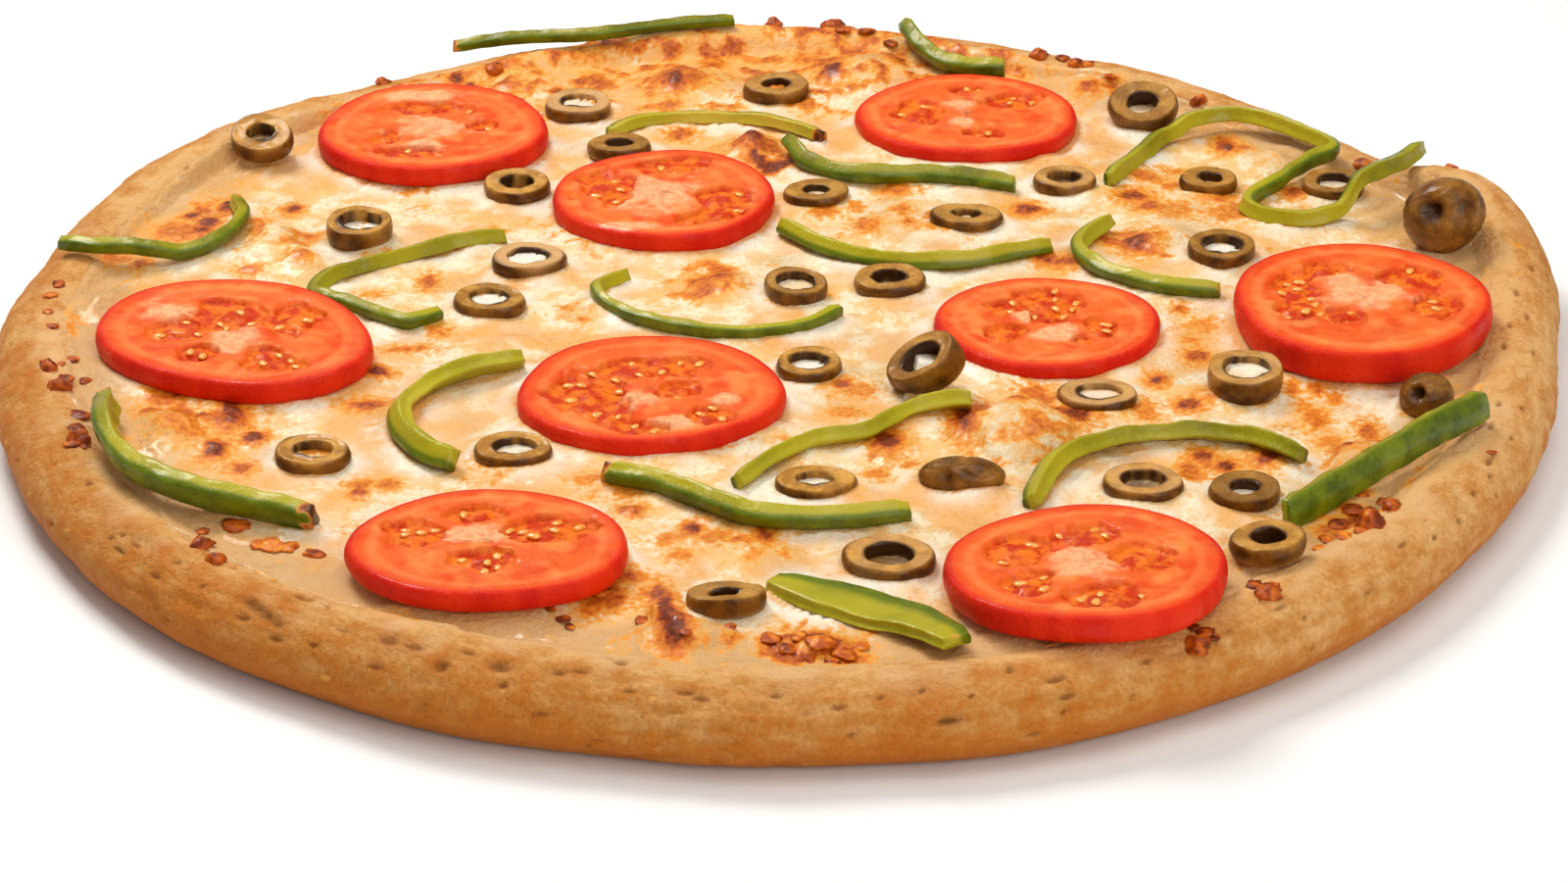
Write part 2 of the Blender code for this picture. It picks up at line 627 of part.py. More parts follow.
def make_olive(number, place, ground):
    """A ring cut from a pitted olive, or the domed end of one where the hole is 0."""
    x, y, width, depth, height, hole, lean, leans_towards = place
    outer = width / 2
    bulge = OLIVE_BULGE * width
    if hole:
        section = [
            (hole / 2, OLIVE_EDGE * 0.5),
            (outer - bulge, 0.0),
            (outer, height * 0.5),
            (outer - bulge, height - 0.2),
            (hole / 2 + 0.3, height - OLIVE_EDGE * 0.5),
        ]
    else:
        section = [
            (outer - bulge, 0.0),
            (outer, height * 0.36),
            (outer * 0.84, height * 0.72),
            (outer * 0.42, height * 0.96),
        ]
    rings = []
    for radius, z in section:
        ring = []
        for i in range(OLIVE_SEGMENTS):
            a = math.tau * i / OLIVE_SEGMENTS
            uneven = 1.0 + 0.035 * math.cos(2 * a + number * 1.7) + 0.02 * math.cos(3 * a + number)
            reach = radius * uneven
            ring.append((reach * math.cos(a), reach * math.sin(a) * depth / width, z - height / 2))
        rings.append(ring)
    if hole:
        points, faces = stacked_rings(rings, close_first=False, close_last=False)
        faces += ring_faces((len(rings) - 1) * OLIVE_SEGMENTS, 0, OLIVE_SEGMENTS)
    else:
        points, faces = stacked_rings(rings)
    kind = "olive_ring" if hole else "olive_end"
    piece = object_from(f"{kind}_{number:02d}", points, faces, "olive")
    towards = math.radians(leans_towards)
    axis = Vector((-math.sin(towards), math.cos(towards), 0.0))
    tip = Matrix.Rotation(math.radians(lean), 4, axis)
    ground_height, slope_x, slope_y = ground.seat(x, y, outer * 0.9)
    if lean > MOST_SLOPED_LEAN:
        slope_x = slope_y = 0.0
    place = Matrix.Translation((x * MM, y * MM, (ground_height + height / 2) * MM))
    piece.matrix_world = place @ slope_turn(slope_x, slope_y) @ tip
    lay_down(piece, ground)
    return piece


def main():
    for old in list(bpy.data.objects):
        bpy.data.objects.remove(old)
    crust = make_crust()
    cheese = make_cheese()
    bpy.context.view_layer.update()
    ground = Ground(crust, cheese)
    for number, place in enumerate(TOMATOES, 1):
        make_tomato(number, place, ground)
    for number, strip in enumerate(PEPPERS, 1):
        make_pepper(number, strip, ground)
    for number, place in enumerate(OLIVES, 1):
        make_olive(number, place, ground)
    bpy.context.view_layer.update()
    to_origin = Matrix.Translation(-middle_of_outline() * MM)
    for piece in bpy.data.objects:
        piece.matrix_world = to_origin @ piece.matrix_world


main()
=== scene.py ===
# %% [markdown]
# # A baked vegetarian pizza, piece by piece
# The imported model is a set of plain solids: a crust, a bed of cheese and fifty-eight toppings.
# This lesson keeps every solid where it is and builds the real thing round it: dough with pits
# and wrinkles, cheese that has run and browned, tomato slices with seed pockets, strips of
# pepper, olive rings. We load the solids first, because they say where each piece lies.

import math
import random

import bmesh
import bpy
import numpy as np
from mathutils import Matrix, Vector, noise
from mathutils.bvhtree import BVHTree


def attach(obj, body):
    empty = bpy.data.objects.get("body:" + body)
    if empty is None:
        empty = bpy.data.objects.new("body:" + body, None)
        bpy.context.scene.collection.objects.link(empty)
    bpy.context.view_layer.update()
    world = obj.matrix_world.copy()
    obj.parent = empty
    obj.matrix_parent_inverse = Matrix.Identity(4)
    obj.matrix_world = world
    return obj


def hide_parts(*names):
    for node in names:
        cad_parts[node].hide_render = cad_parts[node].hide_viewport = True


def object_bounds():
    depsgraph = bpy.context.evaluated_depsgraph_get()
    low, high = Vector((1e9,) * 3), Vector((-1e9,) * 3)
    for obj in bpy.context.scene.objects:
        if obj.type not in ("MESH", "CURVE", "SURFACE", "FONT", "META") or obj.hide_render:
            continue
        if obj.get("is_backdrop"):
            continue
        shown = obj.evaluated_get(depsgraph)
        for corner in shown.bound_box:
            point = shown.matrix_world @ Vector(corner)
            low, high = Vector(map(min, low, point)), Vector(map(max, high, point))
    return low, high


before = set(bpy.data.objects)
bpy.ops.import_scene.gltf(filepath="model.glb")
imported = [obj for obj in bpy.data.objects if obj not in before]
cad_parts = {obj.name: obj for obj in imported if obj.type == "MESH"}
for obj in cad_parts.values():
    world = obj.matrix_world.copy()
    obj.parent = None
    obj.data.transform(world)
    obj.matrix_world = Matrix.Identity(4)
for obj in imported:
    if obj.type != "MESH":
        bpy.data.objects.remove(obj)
cad_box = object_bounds()
print("solids:", len(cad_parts))

# %% [markdown]
# ## Millimetres on a plan
# A pizza is easier to think about in millimetres, on a plan whose middle is the middle of the
# dough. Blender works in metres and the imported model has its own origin, so two small helpers
# go between them. Everything below is written on the plan and turned into metres at the end.

# %% Plan and metres
MM = 0.001
PLAN_MIDDLE = np.array((3.554, 0.603, 0.0))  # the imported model's origin, on the plan


def to_metres(points):
    return (np.asarray(points, float) - PLAN_MIDDLE) * MM


def to_plan(points):
    return np.asarray(points, float) / MM + PLAN_MIDDLE


def solid_points(name):
    """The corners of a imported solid, on the plan."""
    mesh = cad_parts[name].data
    flat = np.empty(len(mesh.vertices) * 3)
    mesh.vertices.foreach_get("co", flat)
    return to_plan(flat.reshape(-1, 3))


print("tomato slice 6 lies at", np.round(solid_points("tomato_slice_6").mean(axis=0), 1))

# %% [markdown]
# ## The camera
# The pizza was seen from just above the table with a long lens: the circle looks less than half
# as deep as it is wide, and its back is hardly smaller than its front. A lens of 88 mm, looking
# down by 27 degrees from 84 cm away, gives that view. The angle matters more than the distance,
# since it sets how much of each topping's side shows. Small marks, such as browned spots, are
# easiest to place in the picture, so two helpers turn a picture place into a plan place.

# %% Camera
camera_data = bpy.data.cameras.new("camera")
camera_data.lens = 87.99
camera_data.sensor_width = 36.0
camera = bpy.data.objects.new("camera", camera_data)
camera.location = (-0.000954, -0.7512, 0.3698)
camera_target = Vector((-0.000937, -0.03481, 0.0))
camera.rotation_euler = (camera_target - camera.location).to_track_quat("-Z", "Y").to_euler()
bpy.context.scene.collection.objects.link(camera)
bpy.context.scene.camera = camera
PICTURE_SIZE = (1600.0, 901.0)
ACROSS_PER_MM = 4.85  # picture pixels for a millimetre to the right, near the middle
BACK_PER_MM = 2.27  # picture pixels for a millimetre towards the back, which looks shorter


def picture_ray(x, y):
    """Where a line of sight starts, on the plan, and which way it goes. The place is in pixels."""
    focal = camera_data.lens / camera_data.sensor_width * PICTURE_SIZE[0]
    way = Vector(((x - PICTURE_SIZE[0] / 2) / focal, (PICTURE_SIZE[1] / 2 - y) / focal, -1.0))
    way.rotate(camera.rotation_euler)
    return Vector(to_plan(camera.location)), way.normalized()


def picture_to_plan(x, y, level=14.5):
    """The place on the plan that is seen at this place in the picture, at this height."""
    start, way = picture_ray(x, y)
    return start + way * ((level - start.z) / way.z)


print("camera is", round((camera_target - camera.location).length, 3), "m from its target")

# %% [markdown]
# ## Soft studio light
# Food is mostly lit from behind, so that wet places shine towards the viewer, and filled from
# the front, so that no side goes black. One large lamp behind, a wide one overhead and a weak
# one in front do it, with a pale world for the rest. A lamp's size sets how soft its shadow is.

# %% Lights and floor
scene = bpy.context.scene
scene.view_settings.view_transform = "Standard"


def add_lamp(name, place, aim, size, power, colour):
    """A square area lamp that faces a point. The size is in metres and the power in watts."""
    data = bpy.data.lights.new(name, "AREA")
    data.size = size
    data.energy = power
    data.color = colour
    lamp = bpy.data.objects.new(name, data)
    lamp.location = place
    lamp.rotation_euler = (Vector(aim) - Vector(place)).to_track_quat("-Z", "Y").to_euler()
    scene.collection.objects.link(lamp)


add_lamp("lamp_behind", (-0.38, 0.52, 0.92), (0.0, 0.05, 0.0), 0.40, 8.6, (1.0, 0.96, 0.89))
add_lamp("lamp_above", (0.2, -0.15, 1.1), (0.0, 0.0, 0.0), 0.8, 4.4, (1.0, 0.96, 0.89))
add_lamp("lamp_front", (0.55, -0.90, 0.55), (0.0, -0.05, 0.0), 0.8, 4.9, (1.0, 0.95, 0.87))

world = bpy.data.worlds.new("pale_room")
world.use_nodes = True
room_light = world.node_tree.nodes["Background"]
room_light.inputs["Color"].default_value = (1.0, 0.965, 0.91, 1.0)
room_light.inputs["Strength"].default_value = 0.27
scene.world = world

FLOOR_SIDE = 4.0
FLOOR_GAP = 0.0002  # keeps the floor clear of the dough's flat underside
bpy.ops.mesh.primitive_plane_add(size=FLOOR_SIDE, location=(0.0, 0.0, -FLOOR_GAP))
floor = bpy.context.object
floor.name = "floor"
floor_material = bpy.data.materials.new("pale_floor")
floor_material.use_nodes = True
floor_shader = floor_material.node_tree.nodes["Principled BSDF"]
floor_shader.inputs["Base Color"].default_value = (0.90, 0.925, 0.965, 1.0)
floor_shader.inputs["Roughness"].default_value = 0.7
floor.data.materials.append(floor_material)
floor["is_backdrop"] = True

# %% [markdown]
# ## Numbers that wander
# Nothing baked is even. Mathutils has a smooth noise, and these helpers read it at many points
# at once. `ease` is the other tool used all through: it goes from 0 to 1 between two values
# with soft ends, and serves to blend heights, colours and masks.

# %% Noise and easing
NOISE_STEP = (1.37, -2.11, 0.73)  # how far the noise moves for a seed of 1
FINER = 2.1  # each further layer of noise is this much smaller
FAINTER = 0.55  # and this much weaker
CURVE_STEPS = 24  # for each span between two knots


def noise_at(points, size, seed=0.0):
    """Smooth noise from about -1 to 1, whose lumps are about this wide in millimetres."""
    shift = Vector([seed * part for part in NOISE_STEP])
    scaled = np.asarray(points, float) / size
    return np.array([noise.noise(Vector(p) + shift) for p in scaled.tolist()])


def layered_noise(points, size, seed, layers=3):
    """Noise with smaller and weaker noise on top."""
    total = np.zeros(len(points))
    for layer in range(layers):
        total += noise_at(points, size / FINER**layer, seed + 9.0 * layer) * FAINTER**layer
    return total


def ease(low, high, value):
    """0 at low, 1 at high, with soft ends. High may be the smaller of the two."""
    t = np.clip((np.asarray(value, float) - low) / (high - low), 0.0, 1.0)
    return t * t * (3.0 - 2.0 * t)


def smooth_path(knots, count, closed=False):
    """Points in even steps along a smooth curve through the knots."""
    knots = np.asarray(knots, float)
    if closed:
        padded = np.vstack([knots[-1:], knots, knots[:2]])
        spans = len(knots)
    else:
        padded = np.vstack([2 * knots[0] - knots[1], knots, 2 * knots[-1] - knots[-2]])
        spans = len(knots) - 1
    fine = np.linspace(0.0, spans, spans * CURVE_STEPS + 1)
    span = np.minimum(fine.astype(int), spans - 1)
    t = (fine - span)[:, None]
    a, b, c, d = padded[span], padded[span + 1], padded[span + 2], padded[span + 3]
    squared = (2 * a - 5 * b + 4 * c - d) * t**2
    cubed = (3 * b - a - 3 * c + d) * t**3
    curve = 0.5 * (2 * b + (c - a) * t + squared + cubed)
    steps = np.linalg.norm(np.diff(curve, axis=0), axis=1)
    travelled = np.concatenate([[0.0], np.cumsum(steps)])
    places = np.linspace(0.0, travelled[-1], count + 1 if closed else count)
    if closed:
        places = places[:-1]
    return np.stack([np.interp(places, travelled, curve[:, i]) for i in range(curve.shape[1])], axis=1)


print("noise at the middle:", round(float(noise_at([(0.0, 0.0, 0.0)], 5.0, 1.0)[0]), 3))

# %% [markdown]
# ## From points to a mesh
# Each piece is a skin over rows of points, like the hoops of a barrel. A mesh can also carry a
# number at each point, and shaders can read it by name. That is how this lesson paints: the
# code that shapes a blister also writes how brown it is.

# %% Mesh helpers


def ring_faces(rows, around):
    """Quads that join rows of points, where each row is a closed ring."""
    row, step = np.meshgrid(np.arange(rows - 1), np.arange(around), indexing="ij")
    here = row * around + step
    beside = row * around + (step + 1) % around
    faces = np.stack([here, beside, beside + around, here + around], axis=-1)
    return faces.reshape(-1, 4).tolist()


def capped_rings(rings):
    """Points and faces of a closed skin through rings, with a fan of triangles over each end."""
    rings = np.asarray(rings, float)
    rows, around = rings.shape[:2]
    points = np.vstack([rings.reshape(-1, 3), rings[0].mean(axis=0), rings[-1].mean(axis=0)])
    faces = ring_faces(rows, around)
    first, last = len(points) - 2, len(points) - 1
    top = (rows - 1) * around
    faces += [(i, first, (i + 1) % around) for i in range(around)]
    faces += [(top + i, top + (i + 1) % around, last) for i in range(around)]
    return points, faces


def make_piece(name, points, faces, paints, material, replaces):
    """A smooth mesh piece that rides on the pizza. Paints are numbers, one for each point."""
    mesh = bpy.data.meshes.new(name)
    mesh.from_pydata(to_metres(points).tolist(), [], faces)
    body = bmesh.new()
    body.from_mesh(mesh)
    bmesh.ops.recalc_face_normals(body, faces=body.faces)
    body.to_mesh(mesh)
    body.free()
    mesh.shade_smooth()
    for label, values in paints.items():
        layer = mesh.attributes.new(label, "FLOAT", "POINT")
        layer.data.foreach_set("value", np.asarray(values, np.float32))
    mesh.materials.append(material)
    piece = bpy.data.objects.new(name, mesh)
    scene.collection.objects.link(piece)
    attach(piece, "root")
    if replaces:
        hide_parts(*replaces)
    return piece


def with_ends(paints):
    """Adds each paint's value for the two points in the middle of the end fans."""
    return {label: np.append(values, (values[0], values[-1])) for label, values in paints.items()}


def add_to(points, faces, more_points, more_faces):
    """Adds a small mesh to the lists of a larger one."""
    start = len(points)
    points.extend(more_points.tolist())
    faces.extend([tuple(i + start for i in face) for face in more_faces])


def turned(points, angle):
    """Points turned round the vertical, to the left, by an angle in radians."""
    cosine, sine = math.cos(angle), math.sin(angle)
    return points @ np.array(((cosine, sine, 0.0), (-sine, cosine, 0.0), (0.0, 0.0, 1.0)))


def circle(steps):
    """Evenly spaced angles, once round."""
    return np.arange(steps) * math.tau / steps


def tree_of(points, faces):
    """A tree for quick questions about a surface: what is below this point, or nearest to it."""
    return BVHTree.FromPolygons(np.asarray(points, float).tolist(), [tuple(f) for f in faces])


# %% [markdown]
# ## Building materials out of nodes
# A material is a tree of nodes, and every node is made the same way: choose its kind, set its
# options, plug in what it reads. These helpers say that in one line each. A socket passed as a
# value is linked, and anything else is typed into the socket.

# %% Node helpers
FLOAT, COLOUR = "NodeSocketFloat", "NodeSocketColor"


def plug(tree, node, inputs):
    """Links a socket to each input, or types a number or a colour into it."""
    for name, value in inputs.items():
        socket = node.inputs[name]
        if isinstance(value, bpy.types.NodeSocket):
            tree.links.new(value, socket)
        elif socket.type == "RGBA":
            socket.default_value = (*value, 1.0)
        else:
            socket.default_value = value


def add_node(tree, kind, inputs=None, **options):
    made = tree.nodes.new(kind)
    for option, value in options.items():
        setattr(made, option, value)
    plug(tree, made, inputs or {})
    return made


def mix_colours(tree, amount, first, second):
    """First where the amount is 0, second where it is 1."""
    inputs = {0: amount, 6: first, 7: second}  # the numbers of the colour mix's own sockets
    return add_node(tree, "ShaderNodeMix", inputs, data_type="RGBA").outputs[2]


def calculate(tree, operation, first, second=0.0, clamp=False):
    made = add_node(tree, "ShaderNodeMath", {0: first, 1: second}, operation=operation, use_clamp=clamp)
    return made.outputs[0]


def times(tree, first, second):
    return calculate(tree, "MULTIPLY", first, second)


def rescale(tree, value, low, high, new_low=0.0, new_high=1.0):
    """Maps a range of values softly on to another."""
    inputs = {"Value": value, "From Min": low, "From Max": high, "To Min": new_low, "To Max": new_high}
    return add_node(tree, "ShaderNodeMapRange", inputs, interpolation_type="SMOOTHSTEP").outputs[0]


def painted(tree, label):
    """The number that the mesh carries under this name."""
    return add_node(tree, "ShaderNodeAttribute", attribute_name=label).outputs["Fac"]


def new_material(name):
    made = bpy.data.materials.new(name)
    made.use_nodes = True
    tree = made.node_tree
    return made, tree, tree.nodes["Principled BSDF"]


def ramp_colour(tree, amount, scale, interpolation):
    """The colour for an amount from 0 to 1 on a scale of (position, colour)."""
    ramp = add_node(tree, "ShaderNodeValToRGB", {"Fac": amount})
    ramp.color_ramp.interpolation = interpolation
    while len(ramp.color_ramp.elements) < len(scale):
        ramp.color_ramp.elements.new(0.5)
    for element, (position, colour) in zip(ramp.color_ramp.elements, scale):
        element.position = position
        element.color = (*colour, 1.0)
    return ramp.outputs["Color"]


def bumped(tree, height, strength, distance):
    """The normal of a surface with this relief. The distance is in metres."""
    inputs = {"Height": height, "Strength": strength, "Distance": distance}
    return add_node(tree, "ShaderNodeBump", inputs).outputs["Normal"]


def new_group(name, inputs, outputs):
    """An empty node group with named sockets: (name, kind, value) in, (name, kind) out."""
    group = bpy.data.node_groups.new(name, "ShaderNodeTree")
    for label, kind, value in inputs:
        socket = group.interface.new_socket(label, in_out="INPUT", socket_type=kind)
        socket.default_value = value
    for label, kind in outputs:
        group.interface.new_socket(label, in_out="OUTPUT", socket_type=kind)
    return group, group.nodes.new("NodeGroupInput"), group.nodes.new("NodeGroupOutput")


def place_group(tree, group, inputs):
    """Puts a group into a material with the material's own values."""
    return add_node(tree, "ShaderNodeGroup", inputs, node_tree=group)


def object_place(tree):
    """Where a point lies on the piece itself, in metres."""
    return add_node(tree, "ShaderNodeTexCoord").outputs["Object"]


print("node helpers ready")

# %% [markdown]
# ## Browning, shared by everything in the oven
# Heat turns cheese, dough and cut vegetables through the same colours: gold, orange, red-brown
# and nearly black. So one group holds that scale. It takes the colour of the raw surface and a
# heat from 0 to 1, breaks the heat up with fine noise so that a spot's edge is ragged, and
# gives the colour back. The ramp lies in the group, so all materials brown alike.

# %% Group: oven browning
BROWNING_SCALE = [  # (heat, colour)
    (0.0, (0.94, 0.56, 0.15)),
    (0.3, (0.89, 0.37, 0.035)),
    (0.52, (0.80, 0.215, 0.010)),
    (0.72, (0.57, 0.11, 0.006)),
    (0.9, (0.33, 0.048, 0.003)),
    (1.0, (0.15, 0.022, 0.002)),
]
browning, group_in, group_out = new_group(
    "oven browning",
    [("Raw Colour", COLOUR, (0.8, 0.7, 0.5, 1.0)), ("Heat", FLOAT, 0.0), ("Raggedness", FLOAT, 0.25)],
    [("Colour", COLOUR)],
)
inputs = {"Vector": object_place(browning), "Scale": 750.0, "Detail": 7.0}
ragged = add_node(browning, "ShaderNodeTexNoise", inputs).outputs["Fac"]
ragged = calculate(browning, "SUBTRACT", ragged, 0.5)
ragged = times(browning, ragged, group_in.outputs["Raggedness"])
ragged = times(browning, ragged, rescale(browning, group_in.outputs["Heat"], 0.02, 0.2))
heat = calculate(browning, "ADD", group_in.outputs["Heat"], ragged, clamp=True)
scale_colour = ramp_colour(browning, heat, BROWNING_SCALE, "B_SPLINE")
cover = rescale(browning, heat, 0.03, 0.36)
covered_colour = mix_colours(browning, cover, group_in.outputs["Raw Colour"], scale_colour)
plug(browning, group_out, {"Colour": covered_colour})


def browned_colour(tree, raw, hot, raggedness):
    """The raw colour after this much heat."""
    inputs = {"Raw Colour": raw, "Heat": hot, "Raggedness": raggedness}
    return place_group(tree, browning, inputs).outputs["Colour"]


print("browning scale of", len(BROWNING_SCALE), "colours")

# %% [markdown]
# ## Grain and wetness
# Two more effects come back in several materials. Fine grain is small relief that the light
# catches: crumbly on dough, silky on cheese. Wetness is where oil or juice has spread, in
# patches with soft edges. Both only put out numbers, and each material decides what to do.

# %% Group: fine grain
grain, group_in, group_out = new_group(
    "fine grain",
    [("Width in mm", FLOAT, 1.0), ("Detail", FLOAT, 4.0)],
    [("Height", FLOAT), ("Specks", FLOAT)],
)
place = object_place(grain)
density = calculate(grain, "DIVIDE", 1000.0, group_in.outputs["Width in mm"])
inputs = {"Vector": place, "Scale": density, "Detail": group_in.outputs["Detail"], "Roughness": 0.6}
soft = add_node(grain, "ShaderNodeTexNoise", inputs)
cells = add_node(grain, "ShaderNodeTexVoronoi", {"Vector": place, "Scale": density})
specks = rescale(grain, cells.outputs["Distance"], 0.28, 0.12)
plug(grain, group_out, {"Height": soft.outputs["Fac"], "Specks": specks})

# %% Group: wet patches
wetness, group_in, group_out = new_group(
    "wet patches",
    [("Width in mm", FLOAT, 12.0), ("Amount", FLOAT, 0.5)],
    [("Wet", FLOAT)],
)
density = calculate(wetness, "DIVIDE", 1000.0, group_in.outputs["Width in mm"])
inputs = {"Vector": object_place(wetness), "Scale": density, "Detail": 3.0}
patches = add_node(wetness, "ShaderNodeTexNoise", inputs)
edge = calculate(wetness, "SUBTRACT", 1.0, group_in.outputs["Amount"])
above = calculate(wetness, "ADD", edge, 0.22)
below = calculate(wetness, "SUBTRACT", edge, 0.12)
plug(wetness, group_out, {"Wet": rescale(wetness, patches.outputs["Fac"], below, above)})


def wet_finish(tree, width, amount, roughness, coat):
    """Roughness and coat that go from (dry, wet), patch by patch."""
    wet = place_group(tree, wetness, {"Width in mm": width, "Amount": amount}).outputs["Wet"]
    return {
        "Roughness": rescale(tree, wet, 0.0, 1.0, *roughness),
        "Coat Weight": rescale(tree, wet, 0.0, 1.0, *coat),
    }


print("groups:", [g.name for g in bpy.data.node_groups])

# %% [markdown]
# ## Dough: the outline and the rim
# The crust was stretched by hand, so its outline wanders and its rim is higher in some places.
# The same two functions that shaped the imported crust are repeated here, so that the detailed
# dough has the same form. One far bulge, at the right, is where a fold was pinched up.

# %% Outline and rim
PIZZA_RADIUS = 168.0
RIM_HEIGHT = 17.2
OUTLINE_BULGES = [(13.0, 13.0, 11.0), (84.0, 12.0, 1.4)]  # (angle, spread, extra radius)
RIM_FOLDS = [  # (angle, spread, extra height)
    (17.5, 7.0, 9.0), (152.0, 13.0, 1.2), (97.0, 16.0, 2.2), (60.0, 12.0, 1.6), (250.0, 20.0, 0.8),
]


def near_angle(angles, where, spread):
    """1 at an angle, fading to 0 over this many degrees on both sides."""
    apart = np.abs((angles - where + 180.0) % 360.0 - 180.0)
    return np.exp(-((apart / spread) ** 2))


def wander(angles, step, seed):
    """A smooth value round the pizza that closes on itself."""
    turns = np.radians(angles)
    spots = zip(np.cos(turns) * step, np.sin(turns) * step)
    return np.array([noise.noise(Vector((x, y, seed))) for x, y in spots])


def outline_radius(angles):
    radius = PIZZA_RADIUS + 2.6 * wander(angles, 1.6, 3.1) + 1.3 * wander(angles, 4.5, 8.7)
    return radius + sum(extra * near_angle(angles, where, spread) for where, spread, extra in OUTLINE_BULGES)


def rim_height(angles):
    height = RIM_HEIGHT + 1.3 * wander(angles, 2.4, 12.3) + 0.7 * wander(angles, 7.0, 21.4)
    return height + sum(extra * near_angle(angles, where, spread) for where, spread, extra in RIM_FOLDS)


some = np.array([0.0, 90.0, 180.0, 270.0])
print("outline radius to the right, back, left and front:", np.round(outline_radius(some), 1))

# %% [markdown]
# ## Dough: the baked surface
# The crust is a ring of rows that goes from the underside, round the rim and down its inner
# slope to the floor under the cheese. Then the skin is pushed in along its own normal: broad
# dents from the fingers, short wrinkles that run round the rim, and pits where bubbles burst.
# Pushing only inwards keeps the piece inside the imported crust.

# %% Dough rows
CRUST_AROUND = 1080
RIM_KNOTS = [  # (inside the outline, share of the rim's height, height in mm)
    (26.0, 0.0, 0.0), (16.0, 0.0, 0.0), (9.0, 0.0, 0.0), (5.6, 0.03, 0.0), (3.4, 0.09, 0.0),
    (1.6, 0.19, 0.0), (0.6, 0.31, 0.0), (0.0, 0.48, 0.0), (1.2, 0.69, 0.0), (4.2, 0.87, 0.0),
    (8.4, 0.98, 0.0), (12.4, 1.0, 0.0), (16.2, 0.94, 0.0), (19.5, 0.0, 13.4), (22.5, 0.0, 8.5),
]
CRUST_ROWS = 84
knots = [(inside, share * RIM_HEIGHT, height) for inside, share, height in RIM_KNOTS]
rim_rows = smooth_path(knots, CRUST_ROWS)
around = 360.0 * np.arange(CRUST_AROUND) / CRUST_AROUND
turns = np.radians(around)
radii = outline_radius(around)
heights = rim_height(around) / RIM_HEIGHT
rings = []
for inside, shared, fixed in rim_rows:
    reach = radii - max(inside, 0.0)
    level = np.maximum(shared * heights + fixed, 0.0)
    rings.append(np.stack([reach * np.cos(turns), reach * np.sin(turns), level], axis=1))
crust_rings = np.array(rings)
print("crust rows:", crust_rings.shape)

# %% Dents, wrinkles and pits
along = np.roll(crust_rings, -1, axis=1) - np.roll(crust_rings, 1, axis=1)
across = np.gradient(crust_rings, axis=0)
normals = np.cross(along, across)
normals /= np.linalg.norm(normals, axis=2, keepdims=True)
if normals[CRUST_ROWS // 2, :, 2].mean() < 0:
    normals = -normals
flat_points = crust_rings.reshape(-1, 3)
inside_grid = np.repeat(rim_rows[:, 0], CRUST_AROUND)
height_grid = flat_points[:, 2]
angle_grid = np.tile(around, CRUST_ROWS)
MM_PER_DEGREE = 2.9  # along the rim
WRINKLE_STRETCH = 3.4  # wrinkles run round the rim, so they are longer that way
polar = np.stack([angle_grid * MM_PER_DEGREE, inside_grid, height_grid], axis=1)  # mm round, in, up
wrinkled = polar / (WRINKLE_STRETCH, 1.0, 1.0)
push = 0.55 * (noise_at(flat_points, 26.0, 2.0) - 0.6)
push += 0.34 * (noise_at(flat_points, 9.0, 3.0) - 0.4)
folds = np.abs(noise_at(wrinkled, 4.2, 5.0))
front = near_angle(angle_grid, 248.0, 60.0)
wrinkle_depth = (0.18 + 0.5 * front) * ease(0.0, 0.35, noise_at(polar, 17.0, 6.0))
push -= wrinkle_depth * np.exp(-((folds / 0.10) ** 2))
push += 0.20 * (noise_at(flat_points, 2.8, 7.0) - 0.5) + 0.10 * (noise_at(flat_points, 1.3, 8.0) - 0.5)
rng = random.Random(41)
pit_shade = np.zeros(len(flat_points))
SMALL_PITS = 120
PIT_SCALE = 0.72  # how much of the size below is the pit's own radius
PIT_DEPTH = 0.85  # depth as a share of that radius
PIT_LIP = 0.14  # height of the raised ring round it
SEEN_PITS = [  # (right, down, size in mm) in the picture: the pits that stand out
    (389, 646, 1.9), (509, 670, 2.0), (440, 679, 1.6), (632, 662, 1.7), (250, 606, 1.5), (259, 609, 1.7),
    (268, 621, 1.8), (277, 627, 1.3), (243, 624, 1.2), (303, 597, 1.4), (312, 600, 1.3), (341, 597, 1.5),
    (350, 597, 1.4), (122, 536, 1.0), (110, 539, 1.1), (131, 548, 1.2), (176, 566, 1.2), (152, 579, 1.1),
    (277, 582, 1.0), (316, 649, 1.2), (375, 676, 1.1), (449, 670, 1.3), (514, 690, 1.2), (567, 678, 1.2),
    (590, 676, 1.1), (698, 696, 1.1), (708, 706, 1.0), (1085, 686, 1.4), (1031, 674, 1.1),
    (947, 696, 1.0), (1095, 706, 1.1), (994, 701, 0.9), (639, 696, 1.1), (797, 703, 1.0),
    (1548, 290, 1.3), (1569, 268, 1.2), (1586, 277, 1.0), (1564, 315, 1.1), (1545, 323, 1.2),
    (1538, 345, 1.1), (1571, 352, 1.0), (1527, 403, 1.4), (1521, 425, 1.2), (1523, 461, 1.3),
    (1527, 480, 1.0), (1513, 498, 1.1), (1498, 527, 1.2), (1469, 542, 1.0), (1432, 545, 1.2),
    (1560, 410, 1.1), (1549, 440, 1.0), (90, 480, 1.0), (62, 445, 0.9), (200, 590, 1.1), (420, 652, 1.3),
    (560, 650, 1.0), (480, 655, 1.0), (860, 716, 1.0), (900, 700, 0.9), (1180, 672, 1.1),
]
pit_places = []
